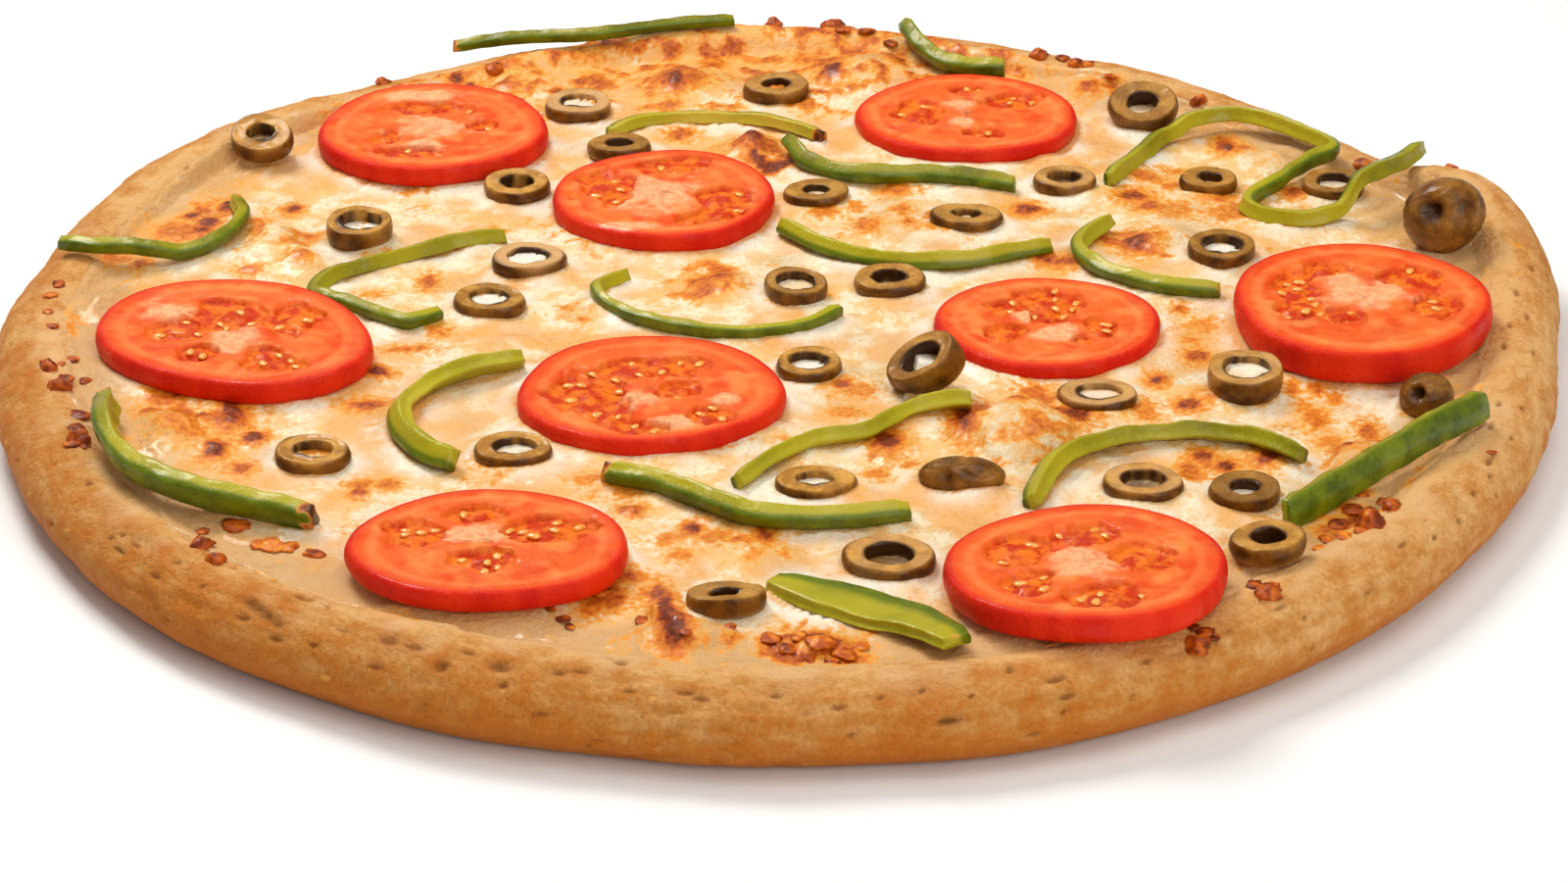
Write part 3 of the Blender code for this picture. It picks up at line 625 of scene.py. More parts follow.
for right, below, width in SEEN_PITS:
    start, way = picture_ray(right, below)
    from_eye = flat_points - np.array(start)
    beside = np.linalg.norm(np.cross(from_eye, np.array(way)), axis=1)
    ahead = from_eye @ np.array(way) + 1000.0 * (beside > 1.5)
    seen = flat_points[ahead.argmin()]
    angle = math.degrees(math.atan2(seen[1], seen[0]))
    pit_places.append((seen, angle, width, rng.choice((1.5, 2.0, 2.6)), 1.0))
for _ in range(SMALL_PITS):
    angle = rng.choice((rng.uniform(195, 345), rng.uniform(0, 360)))
    row = rng.randint(20, 68)
    centre = crust_rings[row, int(angle / 360.0 * CRUST_AROUND) % CRUST_AROUND]
    width = rng.choice((0.7, 0.8, 0.9, 1.1)) * rng.uniform(0.8, 1.2)
    pit_places.append((centre, angle, width, rng.choice((1.0, 1.6, 2.2, 3.4)), rng.uniform(0.4, 0.9)))
for centre, angle, width, stretch, shade in pit_places:
    radius = width * PIT_SCALE
    offset = flat_points - centre
    turn = math.radians(angle)
    round_way = offset[:, 1] * math.cos(turn) - offset[:, 0] * math.sin(turn)
    squared = (offset**2).sum(axis=1) - round_way**2 * (1.0 - 1.0 / stretch**2)
    away = np.sqrt(squared) / radius
    push -= PIT_DEPTH * radius * np.exp(-((away / 0.8) ** 2))
    push += PIT_LIP * radius * np.exp(-(((away - 1.5) / 0.5) ** 2))
    # each pit's inside is painted darker: painted shade, strongest in the pits that stand out
    pit_shade = np.maximum(pit_shade, shade * np.exp(-((away / 0.85) ** 2)))
push *= ease(0.2, 2.5, height_grid)
crust_points = flat_points + normals.reshape(-1, 3) * np.minimum(push, 0.0)[:, None]
print("deepest push:", round(float(push.min()), 2), "mm,", len(pit_places), "pits")

# %% [markdown]
# ## Dough: how brown it is
# Flour and heat paint the dough. The top of the rim near the cheese stays pale and floury, the
# outside is golden, and the belt just above the table is the darkest. The mesh carries `bake`
# for that, `flour` for the pale dusting, `scorch` for dark dots, and one more layer for the
# painted shade inside the pits. (Not `heat`: Cycles keeps that name for smoke, and a mesh layer
# called so would be ignored.)

# %% Dough paint and mesh
PALE_SIDE = 335.0  # degrees: the rim is painted paler here
outer_side = ease(9.0, 0.5, inside_grid) * ease(15.0, 4.0, height_grid)
low_belt = ease(9.0, 2.5, height_grid)
bake = 0.42 + 0.20 * layered_noise(polar, 22.0, 11.0) + 0.10 * noise_at(polar, 5.0, 12.0)
bake += 0.34 * outer_side + 0.22 * low_belt * ease(16.0, 8.0, inside_grid)
bake -= 0.34 * ease(8.0, 15.0, inside_grid)
# browner on the front of the rim: partly real browning, partly painted shade
bake += 0.12 * front * ease(14.0, 6.0, inside_grid)
bake += 0.30 * noise_at(wrinkled, 1.9, 19.0)
bake += 0.12 * ease(140.0, 215.0, angle_grid) * ease(260.0, 215.0, angle_grid)  # browner at the left
bake -= 0.17 * near_angle(angle_grid, PALE_SIDE, 42.0)
flour = ease(0.05, 0.6, layered_noise(polar, 13.0, 14.0)) * ease(3.0, 12.0, inside_grid)
heat = 0.7 * ease(0.52, 0.74, noise_at(polar, 3.1, 17.0)) * ease(0.15, 0.45, noise_at(polar, 24.0, 18.0))
paints = {"bake": bake, "flour": flour, "scorch": np.clip(heat, 0.0, 0.8), "recess_shade": pit_shade}
FLOOR_HEIGHT = 8.5
crust_faces = ring_faces(CRUST_ROWS, CRUST_AROUND)
centres = np.array([(0.0, 0.0, 0.0), (0.0, 0.0, FLOOR_HEIGHT)])
all_crust = np.vstack([crust_points, centres])
under, over = len(crust_points), len(crust_points) + 1
top = (CRUST_ROWS - 1) * CRUST_AROUND
crust_faces += [(i, under, (i + 1) % CRUST_AROUND) for i in range(CRUST_AROUND)]
crust_faces += [(top + i, top + (i + 1) % CRUST_AROUND, over) for i in range(CRUST_AROUND)]
paints = {label: np.append(values, (0.5, 0.0)) for label, values in paints.items()}
crust_tree = tree_of(all_crust, crust_faces)
print("crust faces:", len(crust_faces))

# %% [markdown]
# ## Dough: the material
# Baked dough is matte and slightly rough, because flour and fine bubbles scatter the light. The
# colour goes from cream through tan to orange-brown by the painted bake, with fine mottling.
# Pits are darkened with painted shade, and scorched dots get their browning from the shared
# group. The bump is crumbly grain over short wrinkles.

# %% Dough material
dough, tree, shader = new_material("baked_dough")
fine = place_group(tree, grain, {"Width in mm": 1.1, "Detail": 6.0})
coarse = place_group(tree, grain, {"Width in mm": 4.5, "Detail": 5.0})
coarse_mottle = rescale(tree, coarse.outputs["Height"], 0.3, 0.7, -0.16, 0.16)
fine_mottle = rescale(tree, fine.outputs["Height"], 0.3, 0.7, -0.14, 0.14)
bake_value = calculate(tree, "ADD", painted(tree, "bake"), coarse_mottle)
bake_value = calculate(tree, "ADD", bake_value, fine_mottle)
DOUGH_SCALE = [  # (bake, colour)
    (0.0, (0.82, 0.47, 0.185)),
    (0.28, (0.73, 0.36, 0.11)),
    (0.52, (0.64, 0.265, 0.058)),
    (0.75, (0.61, 0.20, 0.022)),
    (1.0, (0.57, 0.16, 0.008)),
]
dusty = times(tree, painted(tree, "flour"), rescale(tree, fine.outputs["Height"], 0.35, 0.65, 0.25, 0.75))
colour = mix_colours(tree, dusty, ramp_colour(tree, bake_value, DOUGH_SCALE, "LINEAR"), (0.85, 0.54, 0.27))
colour = mix_colours(tree, times(tree, fine.outputs["Specks"], 0.35), colour, (0.60, 0.25, 0.06))
# painted shade inside the pits
painted_pit_shade = rescale(tree, painted(tree, "recess_shade"), 0.1, 0.8, 0.0, 0.75)
colour = mix_colours(tree, painted_pit_shade, colour, (0.26, 0.085, 0.014))
relief = calculate(tree, "ADD", times(tree, coarse.outputs["Height"], 1.6), fine.outputs["Height"])
finish = {
    "Base Color": browned_colour(tree, colour, painted(tree, "scorch"), 0.3),
    "Roughness": rescale(tree, bake_value, 0.2, 1.0, 0.82, 0.6),
    "Specular IOR Level": 0.22,
    "Normal": bumped(tree, relief, 0.9, 0.0010),
}
plug(tree, shader, finish)
crust = make_piece("crust_dough", all_crust, crust_faces, paints, dough, ["crust"])
print("crust piece:", len(crust.data.polygons), "faces")

# %% [markdown]
# ## Where the toppings lie
# Each packed topping already rests on the cheese at its own slant. A slab's slant is the
# direction in which its corners spread least, and a singular value decomposition finds that
# direction. From it come the topping's middle, its two level directions and its three sizes.

# %% Pose of a topping


def slab_pose(name, turn=0.0, up=None):
    """(middle, axes as columns, sizes) of a flat topping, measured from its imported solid."""
    points = solid_points(name)
    if up is None:
        centred = points - points.mean(axis=0)
        up = np.linalg.svd(centred, full_matrices=False)[2][2]
    up = np.asarray(up, float) * (1.0 if up[2] > 0 else -1.0)
    right = np.array((math.cos(math.radians(turn)), math.sin(math.radians(turn)), 0.0))
    right -= up * right.dot(up)
    right /= np.linalg.norm(right)
    axes = np.stack([right, np.cross(up, right), up], axis=1)
    local = points @ axes
    middle = axes @ ((local.min(axis=0) + local.max(axis=0)) / 2)
    return middle, axes, local.max(axis=0) - local.min(axis=0)


middle, axes, sizes = slab_pose("tomato_slice_6")
print("tomato slice 6 measures", np.round(sizes, 1), "mm, its normal is", np.round(axes[:, 2], 3))

# %% [markdown]
# ## Tomato: what a cut slice shows
# A slice is a disc with a thin bright skin, a wall of firm flesh, pockets of jelly with seeds,
# and a pale heart. Where the knife went in decides the pattern, so each slice gets its own
# pockets and pale patches, given as ovals: (right, back, half width, half depth) in mm
# from its middle.

# %% Tomato patterns
TOMATOES = {  # number: (turn, pockets, pale patches)
    1: (
        0.0,
        [(-3.3, 11.3, 9.5, 2.6), (-4, -15.1, 7, 2.6), (-10.8, -6.8, 2.5, 3.1), (12, 0.3, 3.3, 2.6)],
        [(0.3, -0.9, 7.8, 5.3), (-3, -11.6, 4.5, 2.6), (-2.8, 17.8, 10.3, 2.6)],
    ),
    2: (
        0.0,
        [(-11.7, 0.8, 4.3, 6.2), (12, 8.2, 6.2, 3.5), (3.7, -11.9, 3.1, 2.2), (1, 15.4, 4.1, 2.2)],
        [(-1.7, 4.5, 3.3, 4), (-1.9, -5.9, 2.9, 2.2)],
    ),
    3: (
        0.0,
        [
            (-13.7, 3.5, 5.4, 7.5), (13.3, -1.6, 5.8, 5.3), (14.3, -9.8, 4.9, 4),
            (6.4, -14.7, 2.5, 3.1), (2.5, 16.4, 7, 4),
        ],
        [(-1.7, -1, 7.8, 8.8), (-7.9, -19, 5, 2)],
    ),
    4: (
        150.0,
        [
            (-1.8, 9.3, 6.8, 6), (12.2, 5.9, 4.9, 6), (-12, 1.6, 5.8, 4.4),
            (-6.7, -9.8, 3.3, 3.5), (10, -15.1, 6.2, 3), (7.2, -10.6, 2.9, 3),
        ],
        [(0, -4.6, 4.1, 6.2), (-16, 9.3, 4.9, 4.4)],
    ),
    5: (
        0.0,
        [
            (1.1, 10.3, 5.6, 5.6), (-8.8, 7.3, 3.7, 3.5), (-9.6, -5.3, 3.7, 3.5),
            (11.1, -2.9, 3.1, 3.5), (6.6, -8.7, 2.5, 2.2), (0.6, 2.4, 3.2, 3),
        ],
        [(0.7, -6.3, 4.9, 3.5), (-4.9, 1.4, 2.1, 2.6)],
    ),
    6: (
        0.0,
        [
            (-13.3, 6.6, 4.1, 7), (-13.3, -3.7, 4.1, 4.4), (-5.4, -7.6, 4.1, 3.5),
            (-5.7, 15.5, 4.1, 3.1), (12.9, 10.1, 5.8, 4.8), (15.2, -4.2, 4.6, 4.8),
        ],
        [(0.8, 1.6, 9.1, 5.7), (-3.3, 7.6, 3.7, 3.5)],
    ),
    7: (
        0.0,
        [
            (-12.9, -2, 6, 9), (-2.1, 9.4, 9.5, 4), (12.2, -12.3, 4.5, 4),
            (-1.5, -18, 4.5, 2.6), (5.9, -0.7, 3.7, 3.5), (-7.7, -13, 3.3, 3.5),
        ],
        [(-4, -5.5, 5.4, 4), (6.3, -15.1, 4.9, 2.5), (15, -6, 2.5, 2.2)],
    ),
    8: (
        0.0,
        [(-14, 3.5, 5.2, 4.6), (-3.9, 11, 5.4, 3.2), (11.3, 6, 6.8, 4.6), (-0.2, -6.6, 5.4, 4)],
        [(-3.2, 2.2, 5.2, 3.6)],
    ),
    9: (
        0.0,
        [
            (-12.6, 6.7, 5.8, 5.6), (0.5, 11.8, 5.8, 4), (10.7, 2, 4.6, 5),
            (2.5, -13.5, 5.8, 4), (-11.6, -8.2, 4.1, 4.4),
        ],
        [(-1, -1, 6.2, 5.2)],
    ),
}
TOMATO_AROUND = 168
TOMATO_FACE_ROWS = 70


def oval_distance(spots, x, y, half_width, half_depth):
    """0 in the middle of an oval, 1 at its edge and more beyond."""
    return np.hypot((spots[:, 0] - x) / half_width, (spots[:, 1] - y) / half_depth)


def ovals(spots, table, seed, roughness):
    """How far inside the nearest oval each place is: 1 at its middle, 0 at its edge and beyond."""
    ragged = roughness * layered_noise(spots, 6.0, seed)
    depth = np.zeros(len(spots))
    for x, y, half_width, half_depth in table:
        away = oval_distance(spots, x, y, half_width, half_depth) + ragged
        depth = np.maximum(depth, np.clip(1.6 - away, 0.0, 1.6) / 1.6)
    return depth


print("slices:", len(TOMATOES), "pockets:", sum(len(t[1]) for t in TOMATOES.values()))

# %% [markdown]
# ## Tomato: shaping a slice
# The slice is built lying flat round its own middle: rows of points up the skin and in over the
# cut face to the centre. The face sinks into the pockets and rises again where jelly bulges, and
# baking has curled the skin's edge up a little. Then the slice is set into its place.

# %% Tomato slice


def make_tomato(number, material):
    turn, pockets, pale = TOMATOES[number]
    middle, axes, (width, depth, thick) = slab_pose(f"tomato_slice_{number}", turn)
    angles = circle(TOMATO_AROUND)
    uneven = 1.0 + 0.018 * np.cos(3 * angles + number) + 0.01 * np.cos(5 * angles + 2.0 * number)
    uneven /= uneven.max()
    side = [  # (share of the radius, taken in, height share)
        (0.0, 0.0, 0.0), (0.5, 0.0, 0.0), (0.9, 0.5, 0.0), (1.0, 1.1, 0.02), (1.0, 0.45, 0.12),
        (1.0, 0.1, 0.3), (1.0, 0.0, 0.5), (1.0, 0.1, 0.7), (1.0, 0.4, 0.88), (1.0, 0.75, 0.97),
    ]
    face = [(share, 0.8 * share, 1.0) for share in np.linspace(0.985, 0.02, TOMATO_FACE_ROWS)]
    profile = side[1:] + face
    rings = []
    for share, taken_in, level in profile:
        reach_x = (width / 2 - taken_in) * share * uneven * np.cos(angles)
        reach_y = (depth / 2 - taken_in) * share * uneven * np.sin(angles)
        rings.append(np.stack([reach_x, reach_y, np.full_like(angles, (level - 0.5) * thick)], axis=1))
    points = np.array(rings).reshape(-1, 3)
    level = np.repeat([row[2] for row in profile], TOMATO_AROUND)
    share = np.repeat([row[0] for row in profile], TOMATO_AROUND)
    is_face = (level >= 1.0).astype(float)
    spots = turned(points, math.radians(turn))
    spots[:, 2] = number * 31.0  # another part of the noise for each slice
    pocket = ease(0.14, 0.30, ovals(spots, pockets, number * 3.0, 0.55)) * ease(0.95, 0.84, share)
    heart = ease(0.08, 0.60, ovals(spots, pale, number * 3.0 + 1.0, 0.8))
    jelly = ease(0.45, 0.8, ovals(spots, pockets, number * 3.0 + 2.0, 0.4))
    heading = np.arctan2(spots[:, 1], spots[:, 0])
    radial = np.stack([heading * 6.0, 0.35 * share * max(width, depth) / 2, spots[:, 2]], axis=1)
    fibres = 0.5 * noise_at(radial, 1.9, number) + 0.3 * noise_at(spots, 3.0, number + 4.0)
    fibres += 0.35 * layered_noise(spots, 9.0, number + 9.0)
    relief = -1.3 * pocket + 0.9 * jelly * pocket + 0.2 * fibres + 0.14 * noise_at(spots, 8.0, number)
    relief += 0.30 * heart * (1.0 - pocket) + 0.20 * ease(0.88, 0.96, share) - 0.12 * ease(0.80, 0.70, share)
    points[:, 2] += (relief - 0.1) * is_face * ease(0.985, 0.93, share)
    points[:, :2] *= (1.0 - 0.006 * (1.0 + noise_at(spots, 5.0, 7.0)))[:, None]
    placed = points @ axes.T + middle
    skin, faces = capped_rings(placed.reshape(len(profile), TOMATO_AROUND, 3))
    peel = np.maximum((level < 0.99) * (share > 0.95), ease(0.955, 0.985, share)).astype(float)
    paints = {"peel": peel, "pocket": pocket, "heart": heart, "fibres": 0.5 + 0.5 * fibres, "share": share}
    name = f"tomato_slice_{number}"
    make_piece(name + "_cut", skin, faces, with_ends(paints), material, [name])
    face_start = (len(side) - 1) * TOMATO_AROUND
    return placed[face_start:], pocket[face_start:], axes


print("rows on the cut face:", TOMATO_FACE_ROWS)

# %% [markdown]
# ## Tomato: the material
# Cut tomato is wet, so a clear coat gives it sharp highlights over soft, slightly see-through
# flesh. The colour starts as salmon flesh with radial fibres, turns deep orange-red in the
# pockets, pale pink at the heart and bright red in the peel.

# %% Tomato material
tomato_flesh, tree, shader = new_material("cut_tomato")
silky = place_group(tree, grain, {"Width in mm": 1.4, "Detail": 5.0})
blotchy = place_group(tree, grain, {"Width in mm": 7.0, "Detail": 4.0})
streaks = rescale(tree, painted(tree, "fibres"), 0.34, 0.66)
flesh = mix_colours(tree, streaks, (0.83, 0.075, 0.004), (0.95, 0.25, 0.052))
patchy = rescale(tree, blotchy.outputs["Height"], 0.42, 0.58, 0.0, 0.8)
flesh = mix_colours(tree, patchy, flesh, (0.90, 0.145, 0.018))
wall_line = rescale(tree, painted(tree, "share"), 0.78, 0.82)
wall_end = rescale(tree, painted(tree, "share"), 0.84, 0.90, 1.0, 0.0)
wall_line = times(tree, times(tree, wall_line, wall_end), 0.3)
flesh = mix_colours(tree, wall_line, flesh, (0.96, 0.33, 0.10))
near_skin = rescale(tree, painted(tree, "share"), 0.86, 0.97, 0.0, 0.8)
flesh = mix_colours(tree, near_skin, flesh, (0.84, 0.06, 0.004))
wavy = place_group(tree, grain, {"Width in mm": 3.6, "Detail": 4.0})
jelly_mix = rescale(tree, wavy.outputs["Height"], 0.40, 0.60)
jelly_colour = mix_colours(tree, jelly_mix, (0.62, 0.036, 0.001), (0.90, 0.20, 0.010))
streaky = rescale(tree, silky.outputs["Height"], 0.38, 0.62, 0.55, 1.0)
flesh = mix_colours(tree, times(tree, streaky, painted(tree, "heart")), flesh, (0.97, 0.50, 0.25))
flesh = mix_colours(tree, painted(tree, "pocket"), flesh, jelly_colour)
peel_colour = mix_colours(tree, streaks, (0.68, 0.010, 0.001), (0.80, 0.03, 0.002))
relief = calculate(tree, "ADD", silky.outputs["Height"], times(tree, streaks, 0.5))
finish = {
    "Base Color": mix_colours(tree, painted(tree, "peel"), flesh, peel_colour),
    **wet_finish(tree, 9.0, 0.46, (0.5, 0.24), (0.03, 0.3)),
    "Coat Roughness": 0.12,
    "Specular IOR Level": 0.14,
    "Subsurface Weight": 0.16,
    "Subsurface Radius": (1.0, 0.3, 0.15),
    "Subsurface Scale": 0.0018,
    "Normal": bumped(tree, relief, 0.8, 0.0007),
}
plug(tree, shader, finish)

made_tomatoes = {number: make_tomato(number, tomato_flesh) for number in TOMATOES}
print("tomato slices:", len(made_tomatoes))

# %% [markdown]
# ## Tomato: seeds
# Seeds are flat teardrops that sit in the jelly, pointing to the middle of the slice. One lump
# of forty-two points, stretched and tapered, is enough at this size. They are laid where the
# painted pocket is deep, by a seeded draw, and joined into one piece of their own.

# %% Tomato seeds
SEEDS_PER_SLICE = {1: 3, 2: 12, 3: 9, 4: 18, 5: 12, 6: 16, 7: 20, 8: 18, 9: 14}
SEED_SIZE = (1.35, 0.9, 0.45)  # half its length, width and thickness
SEED_TAPER = 0.28
SEED_GAP = 2.3  # at least this far apart
SEED_TRIES = 400


def teardrop(steps=8, rows=5):
    """Rings of a small tapered lump that points along +X."""
    rings = []
    for row in range(rows):
        t = math.pi * (row + 0.6) / (rows + 0.2)
        wide = math.sin(t) * (1.0 + SEED_TAPER * math.cos(t)) * np.cos(circle(steps))
        thick = math.sin(t) * np.sin(circle(steps))
        rings.append(np.stack([np.full(steps, -math.cos(t)), wide, thick], axis=1))
    return capped_rings(rings)


rng = random.Random(7)
seed_points, seed_faces = [], []
for number, (face_points, pocket, axes) in made_tomatoes.items():
    slice_middle = face_points.mean(axis=0)
    deep = np.flatnonzero(pocket > 0.75)
    chosen = []
    for _ in range(SEED_TRIES):
        if len(chosen) >= SEEDS_PER_SLICE[number] or not len(deep):
            break
        spot = face_points[deep[rng.randrange(len(deep))]]
        if all(np.linalg.norm(spot - other) > SEED_GAP for other in chosen):
            chosen.append(spot)
    for spot in chosen:
        inward = axes.T @ (slice_middle - spot)
        heading = math.atan2(inward[1], inward[0]) + rng.uniform(-0.7, 0.7)
        points, faces = teardrop()
        lying = turned(points * np.array(SEED_SIZE) * rng.uniform(0.8, 1.15), heading)
        add_to(seed_points, seed_faces, lying @ axes.T + spot + axes[:, 2] * 0.18, faces)

seed_material, tree, shader = new_material("tomato_seed")
mottle = place_group(tree, grain, {"Width in mm": 1.2, "Detail": 3.0})
mix = rescale(tree, mottle.outputs["Height"], 0.35, 0.65)
finish = {
    "Base Color": mix_colours(tree, mix, (0.90, 0.30, 0.025), (0.95, 0.50, 0.11)),
    "Roughness": rescale(tree, mix, 0.0, 1.0, 0.2, 0.35),
    "Coat Weight": 0.7,
    "Normal": bumped(tree, mottle.outputs["Height"], 0.3, 0.0002),
}
plug(tree, shader, finish)
make_piece("tomato_seeds", np.array(seed_points), seed_faces, {}, seed_material, ())
print("seeds:", len(seed_points) // len(teardrop()[0]))

# %% [markdown]
# ## Pepper: strips of the fruit's wall
# A strip of green pepper has one dark glossy side, the skin, and pale juicy sides where it was
# cut. It curls as it bakes. Each strip follows a route on the plan, and its cut section has six
# corners that are rounded off, wider or narrower along the way. Its height above the plan comes
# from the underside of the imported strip.

# %% Pepper routes
# (height, wall, roll, side of the skin, scorch at the start, at the end, paleness, route)
PEPPERS = [
    (3.0, 3.0, 25, 1, 0.52, 0.21, 0.12, [(-80, 145), (-62, 148), (-44, 148), (-26, 154), (-10, 157)]),
    (5.0, 4.2, 30, 1, 0.07, 0.21, 0.35, [(33, 153), (38, 141.5), (46, 133.5), (57, 131)]),
    (3.2, 3.4, 10, -1, 0.07, 0.66, 0.8, [(-39, 96), (-31, 103), (-15, 105), (0, 101), (12, 92)]),
    (4.0, 4.2, 35, 1, 0.21, 0.14, 0.2, [(3.5, 85.5), (9, 74.5), (21, 68.5), (39, 68), (56, 63)]),
    (
        4.2, 3.2, 15, -1, 0.21, 0.21, 0.4,
        [
            (78, 66.5), (87, 82), (95, 92), (103, 97), (111, 98), (118, 94), (124, 88),
            (129, 81.5), (130.5, 75.5), (123.5, 69.5), (116, 62.5), (109.5, 56), (108.5, 50),
            (113, 45.5), (121, 44), (130, 47), (138, 54), (145.5, 61.5), (150, 68),
        ],
    ),
    (
        3.2, 3.4, 20, 1, 0.21, 0.35, 0.2,
        [(-158, 25), (-146, 22.5), (-132, 24), (-124, 31), (-120, 43), (-123, 55)],
    ),
    (
        3.8, 3.2, 20, 1, 0.07, 0.14, 0.35,
        [
            (-60, 35), (-71, 31.5), (-81, 24.5), (-90, 18.5), (-97, 13), (-99.5, 5.5),
            (-96, 2), (-87.5, -3.5), (-79.5, -10), (-75.5, -9), (-71.5, -5.5),
        ],
    ),
    (3.6, 4.4, 55, 1, 0.14, 0.21, 0.65, [(2, 39.5), (13, 27.8), (28, 20.8), (44, 21.8), (62, 29)]),
    (4.0, 3.8, 30, 1, 0.14, 0.28, 0.5, [(76, 41.5), (68.5, 29), (72.5, 17), (84, 8), (97.5, 5)]),
    (
        3.4, 2.6, 15, 1, 0.07, 0.07, 0.45,
        [(-32, 15), (-38.2, 6.3), (-31.5, -5), (-19, -12), (-5, -14.8), (7.5, -11), (14.5, -3.2)],
    ),
    (
        4.0, 5.6, 50, 1, 0.07, 0.07, 0.6,
        [(-52, -30), (-62, -34), (-70, -41), (-75, -50), (-75, -60), (-70, -70), (-63, -75)],
    ),
    (
        6.4, 4.4, 20, 1, 0.32, 0.66, 0.45,
        [(-135, -54), (-132.5, -70), (-125, -84), (-112, -93), (-100, -96), (-88, -100)],
    ),
    (
        3.8, 4.0, 40, -1, 0.07, 0.35, 0.5,
        [(-6.5, -83.5), (1, -72.5), (10, -65), (19, -62), (26, -54), (33, -50), (41, -50)],
    ),
    (
        4.6, 4.4, 30, 1, 0.49, 0.21, 0.5,
        [(-33, -80), (-24, -83), (-15, -90), (-4, -98.5), (11, -99.5), (27, -96.5)],
    ),
    (
        4.0, 4.6, 35, -1, 0.14, 0.21, 0.35,
        [(50.8, -92.5), (54.5, -81), (61, -71.5), (72, -65.5), (86, -62.5), (97, -65.5), (106, -73.5)],
    ),
    (7.4, 2.8, -12, 1, 0.21, 0.28, 0.2, [(99.5, -100), (113, -88), (128, -73), (144.5, -57.5)]),
    (2.6, 12.0, 4, -1, 0.07, 0.21, 0.5, [(0.5, -122), (8, -126.5), (17, -131.5), (27, -140), (34, -149.5)]),
]
STRIP_STEP = 0.62
BROAD_STRIP = 17
print("strips:", len(PEPPERS))

# %% [markdown]
# ## Pepper: the cut section
# Round corners come from cutting each corner off with a short curve. The section's points also
# say which of them lie on the skin, so that the shader can tell skin from flesh.

# %% Pepper section


def rounded_corners(corners, share=0.24):
    """A closed line through the corners' rounded versions, and the side each point lies on."""
    made, sides = [], []
    count = len(corners)
    corners = np.asarray(corners, float)
    for i in range(count):
        before, here, after = corners[i - 1], corners[i], corners[(i + 1) % count]
        start, end = here + (before - here) * share, here + (after - here) * share
        for t in (0.0, 0.33, 0.67, 1.0):
            made.append((1 - t) ** 2 * start + 2 * t * (1 - t) * here + t * t * end)
            sides.append(i - 0.25 + 0.5 * t)
        next_start = after + (here - after) * share
        for t in (0.25, 0.5, 0.75):
            made.append(end + (next_start - end) * t)
            sides.append(i + 0.25 + 0.5 * t)
    return np.array(made), np.array(sides)


def pepper_section(wall, height, roll):
    """Across and up for each point of the section, and how much of it is skin."""
    corners = [
        (-0.5 * wall, 0.06 * height), (0.5 * wall, 0.0), (0.5 * wall + 0.08 * height, 0.5 * height),
        (0.46 * wall, 0.96 * height), (-0.44 * wall, height), (-0.40 * wall, 0.5 * height),
    ]
    line, sides = rounded_corners(corners)
    skin = ease(0.8, 1.1, sides) * ease(3.6, 2.85, sides)
    top_cut = ease(3.0, 3.2, sides) * ease(4.2, 4.0, sides)
    cosine, sine = math.cos(math.radians(roll)), math.sin(math.radians(roll))
    leaning = line @ np.array(((cosine, -sine), (sine, cosine)))
    leaning[:, 1] -= leaning[:, 1].min()
    leaning[:, 0] -= (leaning[:, 0].min() + leaning[:, 0].max()) / 2
    return leaning, skin, top_cut


section, skin, _ = pepper_section(4.4, 6.4, 20)
print("section points:", len(section), "on the skin:", int((skin > 0.5).sum()))

# %% Pepper strip
TIP_NARROWING = 0.20  # how much narrower a strip gets in its last 3 mm
SMOOTHED_OVER = 15  # steps along the strip, for the level of its underside


